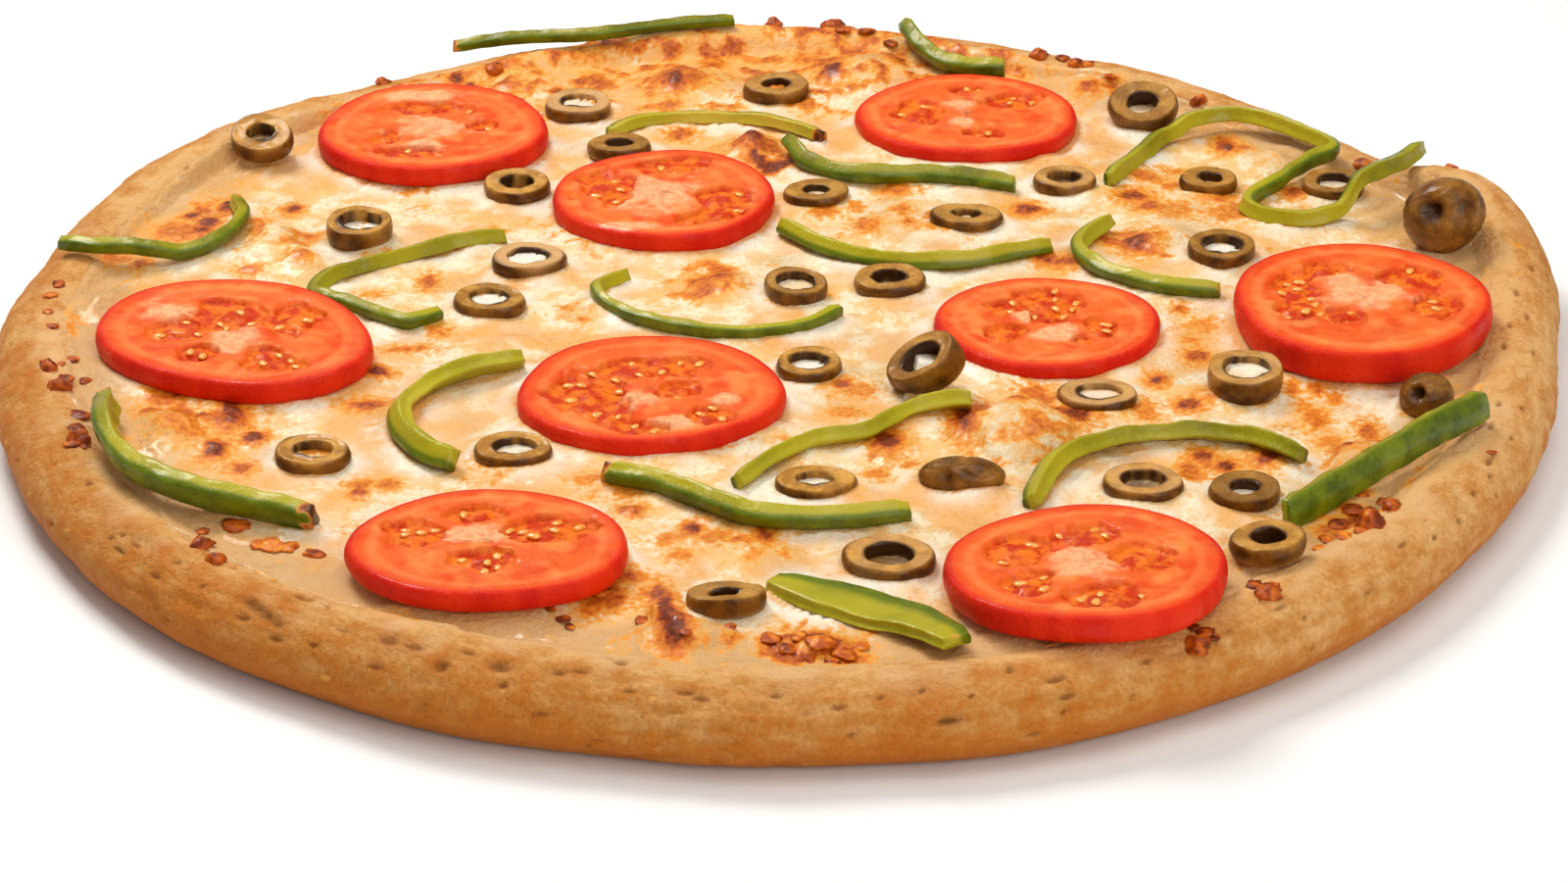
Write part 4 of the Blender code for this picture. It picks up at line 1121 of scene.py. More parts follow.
def make_pepper(number, strip, material):
    height, wall, roll, side, scorch_start, scorch_end, pale, route = strip
    name = f"pepper_strip_{number:02d}"
    corners = solid_points(name)
    length = np.linalg.norm(np.diff(np.asarray(route, float), axis=0), axis=1).sum()
    count = int(length / STRIP_STEP)
    line = smooth_path(route, count)
    ahead = np.gradient(line, axis=0)
    ahead /= np.linalg.norm(ahead, axis=1, keepdims=True)
    sideways = np.stack([ahead[:, 1], -ahead[:, 0]], axis=1) * side
    gaps = np.linalg.norm(corners[None, :, :2] - line[:, None, :], axis=2)
    reach = max(wall, height) * 0.5 + 3.5
    lowest = np.array([corners[gap < max(reach, gap.min() + 0.5), 2].min() for gap in gaps])
    kernel = np.hanning(SMOOTHED_OVER)
    kernel /= kernel.sum()
    lowest = np.convolve(np.pad(lowest, SMOOTHED_OVER // 2, mode="edge"), kernel, mode="valid")
    section, skin, top_cut = pepper_section(wall, height, roll)
    travelled = np.arange(count) * length / count
    runs = np.stack([travelled, np.full(count, number * 13.0), np.zeros(count)], axis=1)
    widths = 1.0 + 0.16 * noise_at(runs, 11.0, 1.0) + 0.06 * noise_at(runs, 3.5, 2.0)
    tallness = 1.0 + 0.10 * noise_at(runs, 9.0, 3.0) - 0.05
    if number == BROAD_STRIP:
        widths = widths * (0.55 + 0.45 * np.sin(np.linspace(0.15, 2.7, count)))
    from_end = np.minimum(travelled, travelled[-1] - travelled)
    narrow = 1.0 - TIP_NARROWING + TIP_NARROWING * ease(0.0, 3.0, from_end)
    rings = []
    for i in range(count):
        across = section[:, 0] * widths[i] * narrow[i]
        up = section[:, 1] * tallness[i] * (0.5 + 0.5 * narrow[i])
        slant = 0.35 * (section[:, 1] / height - 0.5) * (1 if i < count / 2 else -1)
        spot = line[i] + sideways[i] * across[:, None] + ahead[i] * slant[:, None]
        rings.append(np.column_stack([spot, lowest[i] + up]))
    rings = np.array(rings)
    flat = rings.reshape(-1, 3)
    middle_line = np.repeat(rings.mean(axis=1), len(section), axis=0)
    outward = flat - middle_line
    outward /= np.linalg.norm(outward, axis=1, keepdims=True) + 1e-9
    skin_paint = np.tile(skin, count)
    cut_paint = np.tile(top_cut, count)
    bumpy = 0.20 * noise_at(flat, 3.2, 21.0) + 0.10 * noise_at(flat, 1.3, 22.0)
    wavy = 0.42 * noise_at(flat, 5.0, 23.0)
    push = (bumpy + wavy) * (1.0 - skin_paint) * 0.8 + 0.12 * bumpy * skin_paint - 0.08
    flat = flat + outward * push[:, None]
    run_paint = np.repeat(travelled, len(section))
    scorch = scorch_start * np.exp(-((run_paint / 2.0) ** 2))
    scorch = scorch + scorch_end * np.exp(-(((travelled[-1] - run_paint) / 2.6) ** 2))
    scorch *= 0.55 + 0.8 * noise_at(flat, 2.4, 24.0) + 0.3 * cut_paint
    cut_edge = 4.0 * skin_paint * (1.0 - skin_paint)  # 1 where skin and flesh meet
    ridge = 0.2 * np.clip(noise_at(flat, 6.0, 25.0) - 0.28, 0.0, 1.0) * cut_edge
    skin_points, faces = capped_rings(flat.reshape(count, len(section), 3))
    paints = {
        "skin": skin_paint,
        "scorch": np.clip(scorch + ridge, 0.0, 1.0),
        "pale": np.clip(pale + 0.35 * noise_at(flat, 14.0, 26.0), 0.0, 1.0),
    }
    return make_piece(name + "_curl", skin_points, faces, with_ends(paints), material, [name])


# %% [markdown]
# ## Pepper: the material
# Skin is waxy and dark green. Flesh is pale yellow-green, wet, and light comes a little way into
# it. Just under the skin it is brighter green, so the colour follows the painted skin mask with
# a band between. Scorched ends use the shared browning and end nearly black.

# %% Pepper material
pepper, tree, shader = new_material("baked_pepper")
fine = place_group(tree, grain, {"Width in mm": 0.9, "Detail": 4.0})
broad = place_group(tree, grain, {"Width in mm": 6.0, "Detail": 4.0})
broad_mix = rescale(tree, broad.outputs["Height"], 0.36, 0.64)
pale, skin_mask, scorched = painted(tree, "pale"), painted(tree, "skin"), painted(tree, "scorch")
flesh = mix_colours(tree, broad_mix, (0.13, 0.13, 0.001), (0.26, 0.25, 0.002))
flesh = mix_colours(tree, rescale(tree, pale, 0.0, 0.6), flesh, (0.46, 0.41, 0.010))
flesh = mix_colours(tree, rescale(tree, pale, 0.5, 1.1), flesh, (0.66, 0.50, 0.06))
bright_cells = rescale(tree, fine.outputs["Specks"], 0.0, 1.0, 0.0, 0.3)
flesh = mix_colours(tree, bright_cells, flesh, (0.66, 0.58, 0.07))
flesh = mix_colours(tree, rescale(tree, skin_mask, 0.0, 0.55), flesh, (0.13, 0.18, 0.001))
skin_mix = rescale(tree, broad.outputs["Height"], 0.3, 0.7)
skin_colour = mix_colours(tree, skin_mix, (0.06, 0.10, 0.001), (0.18, 0.23, 0.001))
skin_colour = mix_colours(tree, rescale(tree, pale, 0.3, 1.0, 0.0, 0.5), skin_colour, (0.22, 0.24, 0.003))
colour = mix_colours(tree, rescale(tree, skin_mask, 0.45, 0.95), flesh, skin_colour)
colour = browned_colour(tree, colour, rescale(tree, scorched, 0.15, 0.6, 0.0, 0.95), 0.5)
charred = rescale(tree, scorched, 0.2, 0.6, 0.0, 0.85)
finish = {
    "Base Color": mix_colours(tree, charred, colour, (0.055, 0.020, 0.004)),
    **wet_finish(tree, 7.0, 0.6, (0.42, 0.22), (0.04, 0.3)),
    "Coat Roughness": 0.14,
    "Specular IOR Level": 0.2,
    "Subsurface Weight": 0.12,
    "Subsurface Radius": (0.6, 1.0, 0.2),
    "Subsurface Scale": 0.0014,
    "Normal": bumped(tree, fine.outputs["Height"], 0.5, 0.0005),
}
plug(tree, shader, finish)

for number, strip in enumerate(PEPPERS, 1):
    make_pepper(number, strip, pepper)
print("strips made:", len(PEPPERS))

# %% [markdown]
# ## Olive: rings and ends
# A pitted olive cut across gives rings: brown-green skin outside, khaki flesh on the cuts, and a
# hole with torn edges where the stone was. The ends of the fruit are domes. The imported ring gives
# place, slant and size, and the tables give the hole's width, how dull the flesh has gone, and
# which cuts are paler or darker than the rest.

# %% Olive tables
OLIVE_HOLES = {  # number: (width of the hole, dullness of the flesh)
    1: (6.0, 0.7), 2: (8.0, 0.55), 3: (6.4, 1.0), 4: (7.0, 0.8), 5: (7.0, 0.35),
    6: (9.0, 0.5), 7: (8.6, 0.45), 8: (8.0, 0.3), 9: (6.0, 0.1), 10: (5.4, 0.5),
    11: (6.0, 0.9), 12: (8.0, 0.75), 13: (7.4, 0.6), 14: (7.0, 0.6), 15: (5.0, 0.7),
    16: (7.0, 0.6), 17: (8.6, 0.5), 19: (7.0, 0.45), 20: (8.0, 0.4), 21: (7.6, 0.4),
    22: (8.6, 0.5), 23: (8.8, 0.35), 24: (8.8, 0.45), 25: (6.6, 0.3), 27: (8.2, 0.35),
    28: (5.6, 0.5), 29: (6.2, 0.6), 30: (9.0, 0.35), 31: (5.0, 0.8),
}
USUAL_TONE = 0.5
OLIVE_TONES = {  # number: how pale the flesh is, where it isn't the usual tone
    2: 0.85, 7: 1.0, 23: 0.8, 14: 0.7, 27: 0.7, 30: 0.65, 5: 0.6, 24: 0.65, 10: 0.35, 13: 0.4,
    28: 0.1, 9: 0.25, 16: 0.25, 17: 0.25, 12: 0.3, 8: 0.3, 22: 0.25, 4: 0.3, 15: 0.35, 31: 0.35,
}
OLIVE_ENDS = {18: (48.0, 230.0), 26: (0.0, 0.0), 32: (6.0, 180.0)}  # number: (lean, leans towards)
OLIVE_AROUND = 72
OLIVE_ROWS = 40
OLIVE_BULGE = 0.06


def olive_paints(points, local_radius, outer, hole, dull):
    """Masks for the skin, for the painted shade on the hole's wall and for the flesh's dullness."""
    rim = outer * (1.0 - OLIVE_BULGE)
    edge_noise = 0.35 * noise_at(points, 4.0, 38.0)
    skin = ease(rim - 1.1, rim + 0.1, local_radius + edge_noise)
    # painted shade, darkest on the hole's wall
    hollow_shade = ease(hole + 1.0, hole + 0.1, local_radius + edge_noise)
    dull = np.clip(dull + 0.3 * noise_at(points, 6.0, 31.0), 0.0, 1.0)
    return {"skin": skin, "hollow_shade": hollow_shade, "dull": dull}


def olive_ring_section(outer, hole, height):
    """Radius and level of a ring's closed section."""
    half, cut = height / 2, outer * (1.0 - OLIVE_BULGE)
    wall = cut - hole
    knots = [  # up the hole's wall, out over the cut, down the skin and back below
        (hole + 0.15, -half + 0.45), (hole, 0.0), (hole + 0.12, half - 0.55), (hole + 0.5, half - 0.1),
        (hole + wall * 0.4, half - 0.22), (hole + wall * 0.75, half - 0.12), (cut - 0.45, half - 0.02),
        (cut + 0.02, half - 0.28), (outer - 0.12, half * 0.42), (outer, 0.0),
        (outer - 0.12, -half * 0.42), (cut + 0.02, -half + 0.28), (cut - 0.5, -half),
        (hole + wall * 0.5, -half), (hole + 0.5, -half + 0.05),
    ]
    return smooth_path(knots, OLIVE_ROWS, closed=True)


print("rings:", len(OLIVE_HOLES), "ends:", len(OLIVE_ENDS))

# %% Olive rings


def uneven_round(angles, seed):
    """Shares of the radius for an olive that isn't quite round."""
    return 1.0 + 0.035 * np.cos(2 * angles + seed * 1.7) + 0.02 * np.cos(3 * angles + seed)


def make_olive_ring(number, material):
    hole_width, dull = OLIVE_HOLES[number]
    name = f"olive_ring_{number:02d}"
    middle, axes, (width, depth, height) = slab_pose(name)
    outer, hole = width / 2, hole_width / 2
    angles = circle(OLIVE_AROUND)
    around_unit = np.stack([np.cos(angles), np.sin(angles), np.full_like(angles, number * 0.37)], axis=1)
    uneven = uneven_round(angles, number) + 0.02 * noise_at(around_unit, 0.5, number)
    uneven /= uneven.max()
    torn = 1.0 + 0.16 * noise_at(around_unit, 0.7, number + 3.0)
    torn += 0.07 * noise_at(around_unit, 0.25, number + 5.0)
    tilt = 0.10 * height * noise_at(around_unit, 1.1, number + 8.0)
    rng = random.Random(number)
    shift = np.array((rng.uniform(-0.5, 0.5), rng.uniform(-0.5, 0.5)))
    rings = []
    for radius, level in olive_ring_section(outer, hole, height):
        near_hole = float(ease(outer, hole, radius))
        reach = radius * (uneven * (1.0 - near_hole) + torn * near_hole)
        spot = np.stack([reach * np.cos(angles), reach * np.sin(angles) * depth / width], axis=1)
        spot += shift * near_hole
        rings.append(np.column_stack([spot, level + tilt * (level > 0) - 0.12]))
    points = np.array(rings).reshape(-1, 3)
    radius = np.hypot(points[:, 0], points[:, 1] * width / depth)
    spots = points + (0.0, 0.0, number * 11.0)
    paints = olive_paints(spots, radius, outer, hole, dull)
    paints["tone"] = np.clip(OLIVE_TONES.get(number, USUAL_TONE) + 0.2 * noise_at(spots, 5.0, 39.0), 0.0, 1.0)
    top_face = (points[:, 2] > height * 0.3) * (1.0 - paints["skin"])
    points[:, 2] += 0.22 * noise_at(spots, 2.6, 33.0) * top_face
    points[:, :2] *= (1.0 - 0.015 * (1.0 + noise_at(spots, 3.0, 34.0)) * paints["skin"])[:, None]
    faces = ring_faces(OLIVE_ROWS, OLIVE_AROUND)
    last = (OLIVE_ROWS - 1) * OLIVE_AROUND
    for i in range(OLIVE_AROUND):
        j = (i + 1) % OLIVE_AROUND
        faces.append((last + i, last + j, j, i))
    make_piece(name + "_cut", points @ axes.T + middle, faces, paints, material, [name])


SCAR_WAY = (-0.50, -0.72, 0.48)  # where the scar faces on the plan
SCAR_WIDTH = 0.30  # as a share of the end's radius


def make_olive_end(number, material):
    """The domed end of the fruit, with the small scar where the stone was pushed out."""
    lean, towards = OLIVE_ENDS[number]
    way, tip = math.radians(towards), math.radians(lean)
    up = (math.sin(tip) * math.cos(way), math.sin(tip) * math.sin(way), math.cos(tip))
    name = f"olive_end_{number}"
    middle, axes, (width, depth, height) = slab_pose(name, up=up)
    outer = width / 2
    knots = [  # from under the dome, out and up to its tip
        (outer * 0.3, 0.0), (outer * 0.86, 0.0), (outer * 0.94, 0.03 * height),
        (outer * 0.99, height * 0.2), (outer, height * 0.36), (outer * 0.95, height * 0.56),
        (outer * 0.82, height * 0.74), (outer * 0.60, height * 0.89), (outer * 0.36, height * 0.965),
        (outer * 0.16, height * 0.99), (0.05, height),
    ]
    angles = circle(OLIVE_AROUND)
    uneven = uneven_round(angles, number)
    uneven /= uneven.max()
    rings = []
    for radius, level in smooth_path(knots, OLIVE_ROWS):
        across, back = radius * uneven * np.cos(angles), radius * uneven * np.sin(angles) * depth / width
        rings.append(np.column_stack([across, back, np.full_like(angles, level - height / 2)]))
    points = np.array(rings).reshape(-1, 3)
    spots = points + (0.0, 0.0, number * 11.0)
    scar_way = axes.T @ np.array(SCAR_WAY)
    scar_spot = scar_way / np.linalg.norm(scar_way) * np.array((outer, outer, height / 2)) * 0.95
    scar = np.exp(-((np.linalg.norm(points - scar_spot, axis=1) / (SCAR_WIDTH * outer)) ** 4))
    swirl = np.abs(noise_at(spots * (0.5, 1.3, 1.0), 4.6, 35.0))
    crease = np.exp(-((swirl / 0.07) ** 2))
    inward = -points / (np.linalg.norm(points, axis=1, keepdims=True) + 1e-9)
    push = 2.8 * scar + 0.34 * crease + 0.12 * (1.0 + noise_at(spots, 3.0, 36.0))
    points = points + inward * push[:, None]
    skin, faces = capped_rings((points @ axes.T + middle).reshape(OLIVE_ROWS, OLIVE_AROUND, 3))
    paints = {
        "skin": 0.85 + 0.3 * noise_at(spots, 4.0, 37.0),
        # painted shade in the scar
        "hollow_shade": np.clip(scar * 1.8, 0.0, 1.0),
        "dull": 0.45 + 0.3 * crease,
        "tone": np.full(len(points), USUAL_TONE),
    }
    make_piece(name + "_dome", skin, faces, with_ends(paints), material, [name])


# %% [markdown]
# ## Olive: the material
# Cured olive is brownish khaki with a darker skin and a dull grey bloom on some cuts. It is oily,
# so highlights are broad. Fine grain on the cuts stands for the lines that run out from the
# hole, which is enough at this size. The hole's wall and the scar on an end are painted near
# black, as painted shade.

# %% Olive material
olive, tree, shader = new_material("cured_olive")
fine = place_group(tree, grain, {"Width in mm": 1.0, "Detail": 5.0})
broad = place_group(tree, grain, {"Width in mm": 4.5, "Detail": 4.0})
broad_mix = rescale(tree, broad.outputs["Height"], 0.36, 0.64)
tone, fine_height = painted(tree, "tone"), fine.outputs["Height"]
flesh = mix_colours(tree, broad_mix, (0.42, 0.175, 0.015), (0.76, 0.39, 0.07))
flesh = mix_colours(tree, times(tree, painted(tree, "dull"), 0.5), flesh, (0.46, 0.23, 0.055))
flesh = mix_colours(tree, rescale(tree, fine_height, 0.48, 0.7, 0.0, 0.4), flesh, (0.20, 0.065, 0.005))
flesh = mix_colours(tree, rescale(tree, tone, 0.5, 1.0, 0.0, 0.75), flesh, (0.74, 0.44, 0.20))
flesh = mix_colours(tree, rescale(tree, tone, 0.0, 0.5, 0.75, 0.0), flesh, (0.17, 0.065, 0.006))
skin_colour = mix_colours(tree, broad_mix, (0.07, 0.021, 0.0008), (0.21, 0.072, 0.002))
colour = mix_colours(tree, painted(tree, "skin"), flesh, skin_colour)
finish = {
    # the hole's wall and the scar are painted near black: painted shade
    "Base Color": mix_colours(tree, painted(tree, "hollow_shade"), colour, (0.045, 0.014, 0.001)),
    **wet_finish(tree, 5.0, 0.6, (0.45, 0.24), (0.04, 0.35)),
    "Coat Roughness": 0.16,
    "Specular IOR Level": 0.12,
    "Normal": bumped(tree, fine_height, 0.7, 0.0005),
}
plug(tree, shader, finish)

for number in OLIVE_HOLES:
    make_olive_ring(number, olive)
for number in OLIVE_ENDS:
    make_olive_end(number, olive)

# %% [markdown]
# ## Cheese: one sheet over everything below
# Melted cheese is one sheet. It lies level between the toppings, swells over what it covers,
# climbs a little up every topping and thins out over the inner slope of the rim. The sheet is a
# square grid pressed into a disc, so that its squares stay even from the middle to the edge.

# %% Cheese grid
CHEESE_STEPS = 290
CHEESE_HEIGHT = 14.0
CHEESE_LUMPS = [  # (x, y, radius, height): pieces under the cheese, and its big bubbles
    (50.0, -59.0, 12.0, 5.0), (-15.0, -138.0, 10.0, 3.6), (121.0, -74.0, 10.0, 3.6),
    (-124.0, -57.0, 9.0, 2.6), (-113.0, 33.0, 9.0, 4.0), (-104.0, 25.0, 7.0, 2.6),
    (-4.0, 87.0, 9.5, 4.2), (-146.0, 2.0, 8.0, 3.2), (24.0, 134.0, 14.0, 5.0),
    (-22.0, 130.0, 12.0, 3.4), (-60.0, 132.0, 12.0, 2.6), (80.0, 128.0, 11.0, 3.0),
    (88.0, 36.0, 10.0, 2.4), (-7.0, 8.0, 9.0, 2.4), (118.0, 82.0, 11.0, 2.6),
    (32.0, 50.0, 12.0, 2.0), (-60.0, -18.0, 10.0, 1.6), (-8.0, -108.0, 10.0, 1.6),
]

line = np.linspace(-1.0, 1.0, CHEESE_STEPS + 1)
square_x, square_y = np.meshgrid(line, line)
square_x, square_y = square_x.ravel(), square_y.ravel()
disc_x = square_x * np.sqrt(1.0 - square_y**2 / 2.0)
disc_y = square_y * np.sqrt(1.0 - square_x**2 / 2.0)
share = np.hypot(disc_x, disc_y)
angle = np.degrees(np.arctan2(disc_y, disc_x)) % 360.0
edge_inside = 14.6 + 2.2 * wander(angle, 5.0, 31.0) + 1.6 * wander(angle, 14.0, 33.0)
back_edge = near_angle(angle, 97.0, 34.0)  # at the back the cheese ran further out over the rim
edge_inside -= back_edge * (7.0 + 2.5 * wander(angle, 24.0, 35.0))
edge_radius = outline_radius(angle) - edge_inside
cheese_xy = np.stack([disc_x, disc_y], axis=1) * edge_radius[:, None]
side = CHEESE_STEPS + 1  # points along a side of the square
point_number = np.arange(side**2).reshape(side, side)
corner = point_number[:-1, :-1]
cheese_faces = np.stack([corner, corner + 1, corner + side + 1, corner + side], axis=-1)
cheese_faces = cheese_faces.reshape(-1, 4).tolist()
one_step = 2.0 * edge_radius.mean() / CHEESE_STEPS
print("cheese points:", len(cheese_xy), "one step is", round(float(one_step), 2), "mm")

# %% [markdown]
# ## Cheese: what lies above and below
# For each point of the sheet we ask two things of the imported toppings: does one cover this
# point, and if not, how far away is the nearest? Covered points duck under the topping. Open
# points near one rise, as a liquid does against a wall. The dough is asked for its height too.

# %% Toppings and dough round each point
topping_points, topping_faces = [], []
for name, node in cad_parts.items():
    if name in ("crust", "cheese"):
        continue
    add_to(topping_points, topping_faces, solid_points(name), [face.vertices for face in node.data.polygons])
topping_tree = tree_of(topping_points, topping_faces)
ABOVE_ALL, BELOW_TOPPINGS = 60.0, 5.0  # levels from which to look down and up
LIKE_A_WALL = 9.0  # a topping further off than this has no effect


def seen_below(tree, x, y):
    """The first place that a line straight down at x, y meets, or None."""
    return tree.ray_cast(Vector((x, y, ABOVE_ALL)), Vector((0.0, 0.0, -1.0)))[0]


covered = np.zeros(len(cheese_xy))
underside = np.full(len(cheese_xy), 99.0)
nearest = np.full(len(cheese_xy), 99.0)
top_beside = np.zeros(len(cheese_xy))
dough_top = np.full(len(cheese_xy), FLOOR_HEIGHT)
for i, (x, y) in enumerate(cheese_xy.tolist()):
    hit = topping_tree.ray_cast(Vector((x, y, BELOW_TOPPINGS)), Vector((0.0, 0.0, 1.0)))[0]
    if hit:
        covered[i], underside[i], nearest[i] = 1.0, hit.z, 0.0
        top_beside[i] = seen_below(topping_tree, x, y).z
    else:
        hit = topping_tree.find_nearest(Vector((x, y, CHEESE_HEIGHT + 1.0)), LIKE_A_WALL)[0]
        if hit:
            nearest[i] = math.hypot(hit.x - x, hit.y - y)
            reach = 1.0 + 0.9 / max(nearest[i], 0.05)  # 0.9 mm past its side, to find its top
            over = seen_below(topping_tree, x + (hit.x - x) * reach, y + (hit.y - y) * reach)
            top_beside[i] = over.z if over else hit.z
    if share[i] > 0.8:
        hit = seen_below(crust_tree, x, y)
        if hit:
            dough_top[i] = hit.z
print("points under a topping:", int(covered.sum()))

# %% [markdown]
# ## Cheese: where the oven browned it
# The picture shows some hundred and fifty small browned spots and some wide areas that only
# went golden. They follow no rule that a noise could copy, so they are read off one by one: each
# is an oval, given by its place in the picture, its half sizes there and how hot it got. The
# chunks under the cheese and the milky pools in some olive rings are read off the same way.

# %% Browned spots
BROWNED_SPOTS = [  # (right, down, half width, half depth, heat), all but the last in pixels
    (474, 52, 4, 3, 1.0), (490, 51, 4, 4, 0.8), (508, 55, 7, 3, 0.7), (510, 68, 12, 3, 0.5),
    (473, 64, 7, 5, 0.6), (466, 84, 4, 4, 0.9), (481, 89, 5, 3, 0.8), (523, 93, 9, 5, 0.5),
    (420, 67, 5, 4, 1.0), (405, 67, 5, 3, 0.9), (438, 63, 5, 3, 0.7), (376, 81, 5, 3, 0.9),
    (400, 80, 8, 3, 0.7), (582, 51, 6, 6, 0.75), (607, 50, 6, 3, 0.9), (618, 55, 4, 3, 1.0),
    (632, 53, 6, 4, 0.6), (609, 81, 9, 8, 0.5), (685, 88, 17, 10, 0.62), (690, 91, 6, 6, 1.0),
    (694, 40, 9, 7, 0.75), (694, 137, 12, 5, 0.6), (849, 82, 9, 8, 0.85), (849, 82, 15, 11, 0.5),
    (908, 67, 10, 6, 0.6), (915, 66, 3, 4, 0.95), (820, 62, 12, 6, 0.5), (729, 65, 14, 7, 0.45),
    (770, 158, 28, 7, 0.6), (770, 155, 8, 6, 0.9), (914, 195, 16, 5, 0.5), (843, 216, 13, 6, 0.45),
    (885, 230, 12, 7, 0.45), (873, 211, 7, 4, 0.4), (875, 398, 16, 6, 0.4), (863, 420, 14, 5, 0.35),
    (860, 393, 4, 3, 0.7), (906, 451, 12, 9, 0.6), (903, 456, 6, 5, 0.85), (642, 521, 8, 4, 0.6),
    (708, 541, 7, 4, 0.8), (780, 548, 5, 5, 0.75), (754, 555, 5, 3, 0.6), (730, 550, 14, 7, 0.42),
    (599, 490, 14, 4, 0.4), (642, 504, 12, 4, 0.4), (894, 483, 10, 4, 0.4), (195, 220, 6, 3, 0.95),
    (213, 227, 6, 5, 1.0), (233, 211, 4, 6, 1.0), (205, 236, 7, 3, 0.8), (186, 236, 26, 10, 0.5),
    (264, 233, 6, 12, 0.45), (298, 213, 6, 4, 0.8), (313, 242, 12, 4, 0.55), (306, 269, 10, 3, 0.5),
    (255, 276, 9, 4, 0.45), (119, 265, 16, 6, 0.5), (143, 269, 6, 5, 0.65), (438, 287, 6, 6, 0.6),
    (380, 300, 10, 4, 0.35), (420, 356, 18, 3, 0.5), (385, 381, 9, 3, 0.8), (374, 413, 14, 4, 0.7),
    (186, 403, 5, 3, 0.8), (235, 417, 6, 6, 0.9), (168, 407, 16, 7, 0.5), (238, 427, 7, 8, 0.9),
    (236, 428, 16, 14, 0.55), (219, 458, 10, 8, 0.6), (219, 461, 4, 4, 0.9), (183, 437, 18, 12, 0.38),
    (152, 422, 8, 4, 0.6), (261, 445, 6, 4, 0.95), (196, 444, 12, 7, 0.4), (246, 477, 8, 4, 0.6),
    (366, 494, 10, 4, 0.5), (397, 494, 8, 3, 0.5), (366, 502, 5, 3, 0.7), (647, 521, 7, 4, 0.55),
    (695, 567, 9, 4, 0.4), (1252, 150, 10, 7, 0.7), (1252, 152, 5, 4, 1.0), (1166, 180, 14, 5, 0.5),
    (1196, 190, 9, 4, 0.5), (1156, 200, 14, 6, 0.75), (1173, 210, 12, 5, 0.6), (1048, 213, 12, 5, 0.8),
    (1159, 253, 14, 6, 0.75), (1133, 249, 8, 4, 0.6), (1259, 216, 30, 10, 0.4), (1199, 214, 20, 10, 0.35),
    (1319, 200, 9, 4, 0.7), (1090, 269, 10, 4, 0.55), (1157, 249, 6, 4, 0.95), (1066, 266, 9, 4, 0.7),
    (1087, 269, 12, 4, 0.7), (1204, 316, 5, 3, 0.6), (1225, 330, 16, 7, 0.35), (1222, 363, 9, 5, 0.65),
    (1214, 346, 5, 3, 0.5), (1180, 387, 6, 4, 0.8), (1213, 413, 10, 4, 0.75), (1054, 401, 13, 6, 0.55),
    (984, 434, 10, 14, 0.62), (982, 432, 5, 8, 0.9), (1090, 427, 18, 8, 0.7), (1100, 424, 8, 4, 0.95),
    (1166, 419, 12, 9, 0.4), (1037, 428, 4, 3, 0.7), (1318, 398, 5, 5, 0.5), (1342, 398, 5, 4, 0.5),
    (1362, 407, 4, 3, 0.5), (1342, 428, 8, 8, 0.5), (1356, 451, 10, 5, 0.4), (1397, 440, 8, 8, 0.55),
    (1227, 466, 9, 4, 0.8), (1295, 469, 10, 4, 0.8), (1251, 475, 6, 4, 0.9), (1233, 404, 14, 7, 0.3),
    (735, 290, 16, 6, 0.5), (735, 290, 6, 3, 0.8), (1040, 430, 10, 4, 0.5), (220, 430, 8, 5, 0.6),
    (850, 660, 18, 7, 0.5), (850, 660, 7, 3, 0.85), (1110, 95, 12, 5, 0.6), (1060, 60, 14, 5, 0.6),
    (1090, 60, 5, 3, 0.95), (980, 50, 12, 4, 0.55), (1000, 48, 5, 3, 0.9), (870, 36, 10, 4, 0.6),
    (850, 34, 4, 3, 0.95),
    # The browned stick in front, and the edges of the chunks:
    (671, 606, 6, 8, 0.7), (677, 622, 6, 9, 0.85), (682, 638, 6, 10, 0.9), (688, 656, 7, 8, 1.0),
    (984, 434, 8, 14, 0.85), (1000, 418, 10, 6, 0.6), (1090, 427, 12, 6, 0.8), (1062, 410, 14, 5, 0.55),
    (620, 612, 14, 8, 0.6), (603, 622, 8, 6, 0.5), (640, 590, 14, 4, 0.55), (905, 452, 9, 9, 0.9),
    (1372, 463, 8, 5, 0.7), (1420, 452, 12, 4, 0.55), (165, 410, 8, 5, 0.5), (240, 430, 7, 8, 0.6),
]
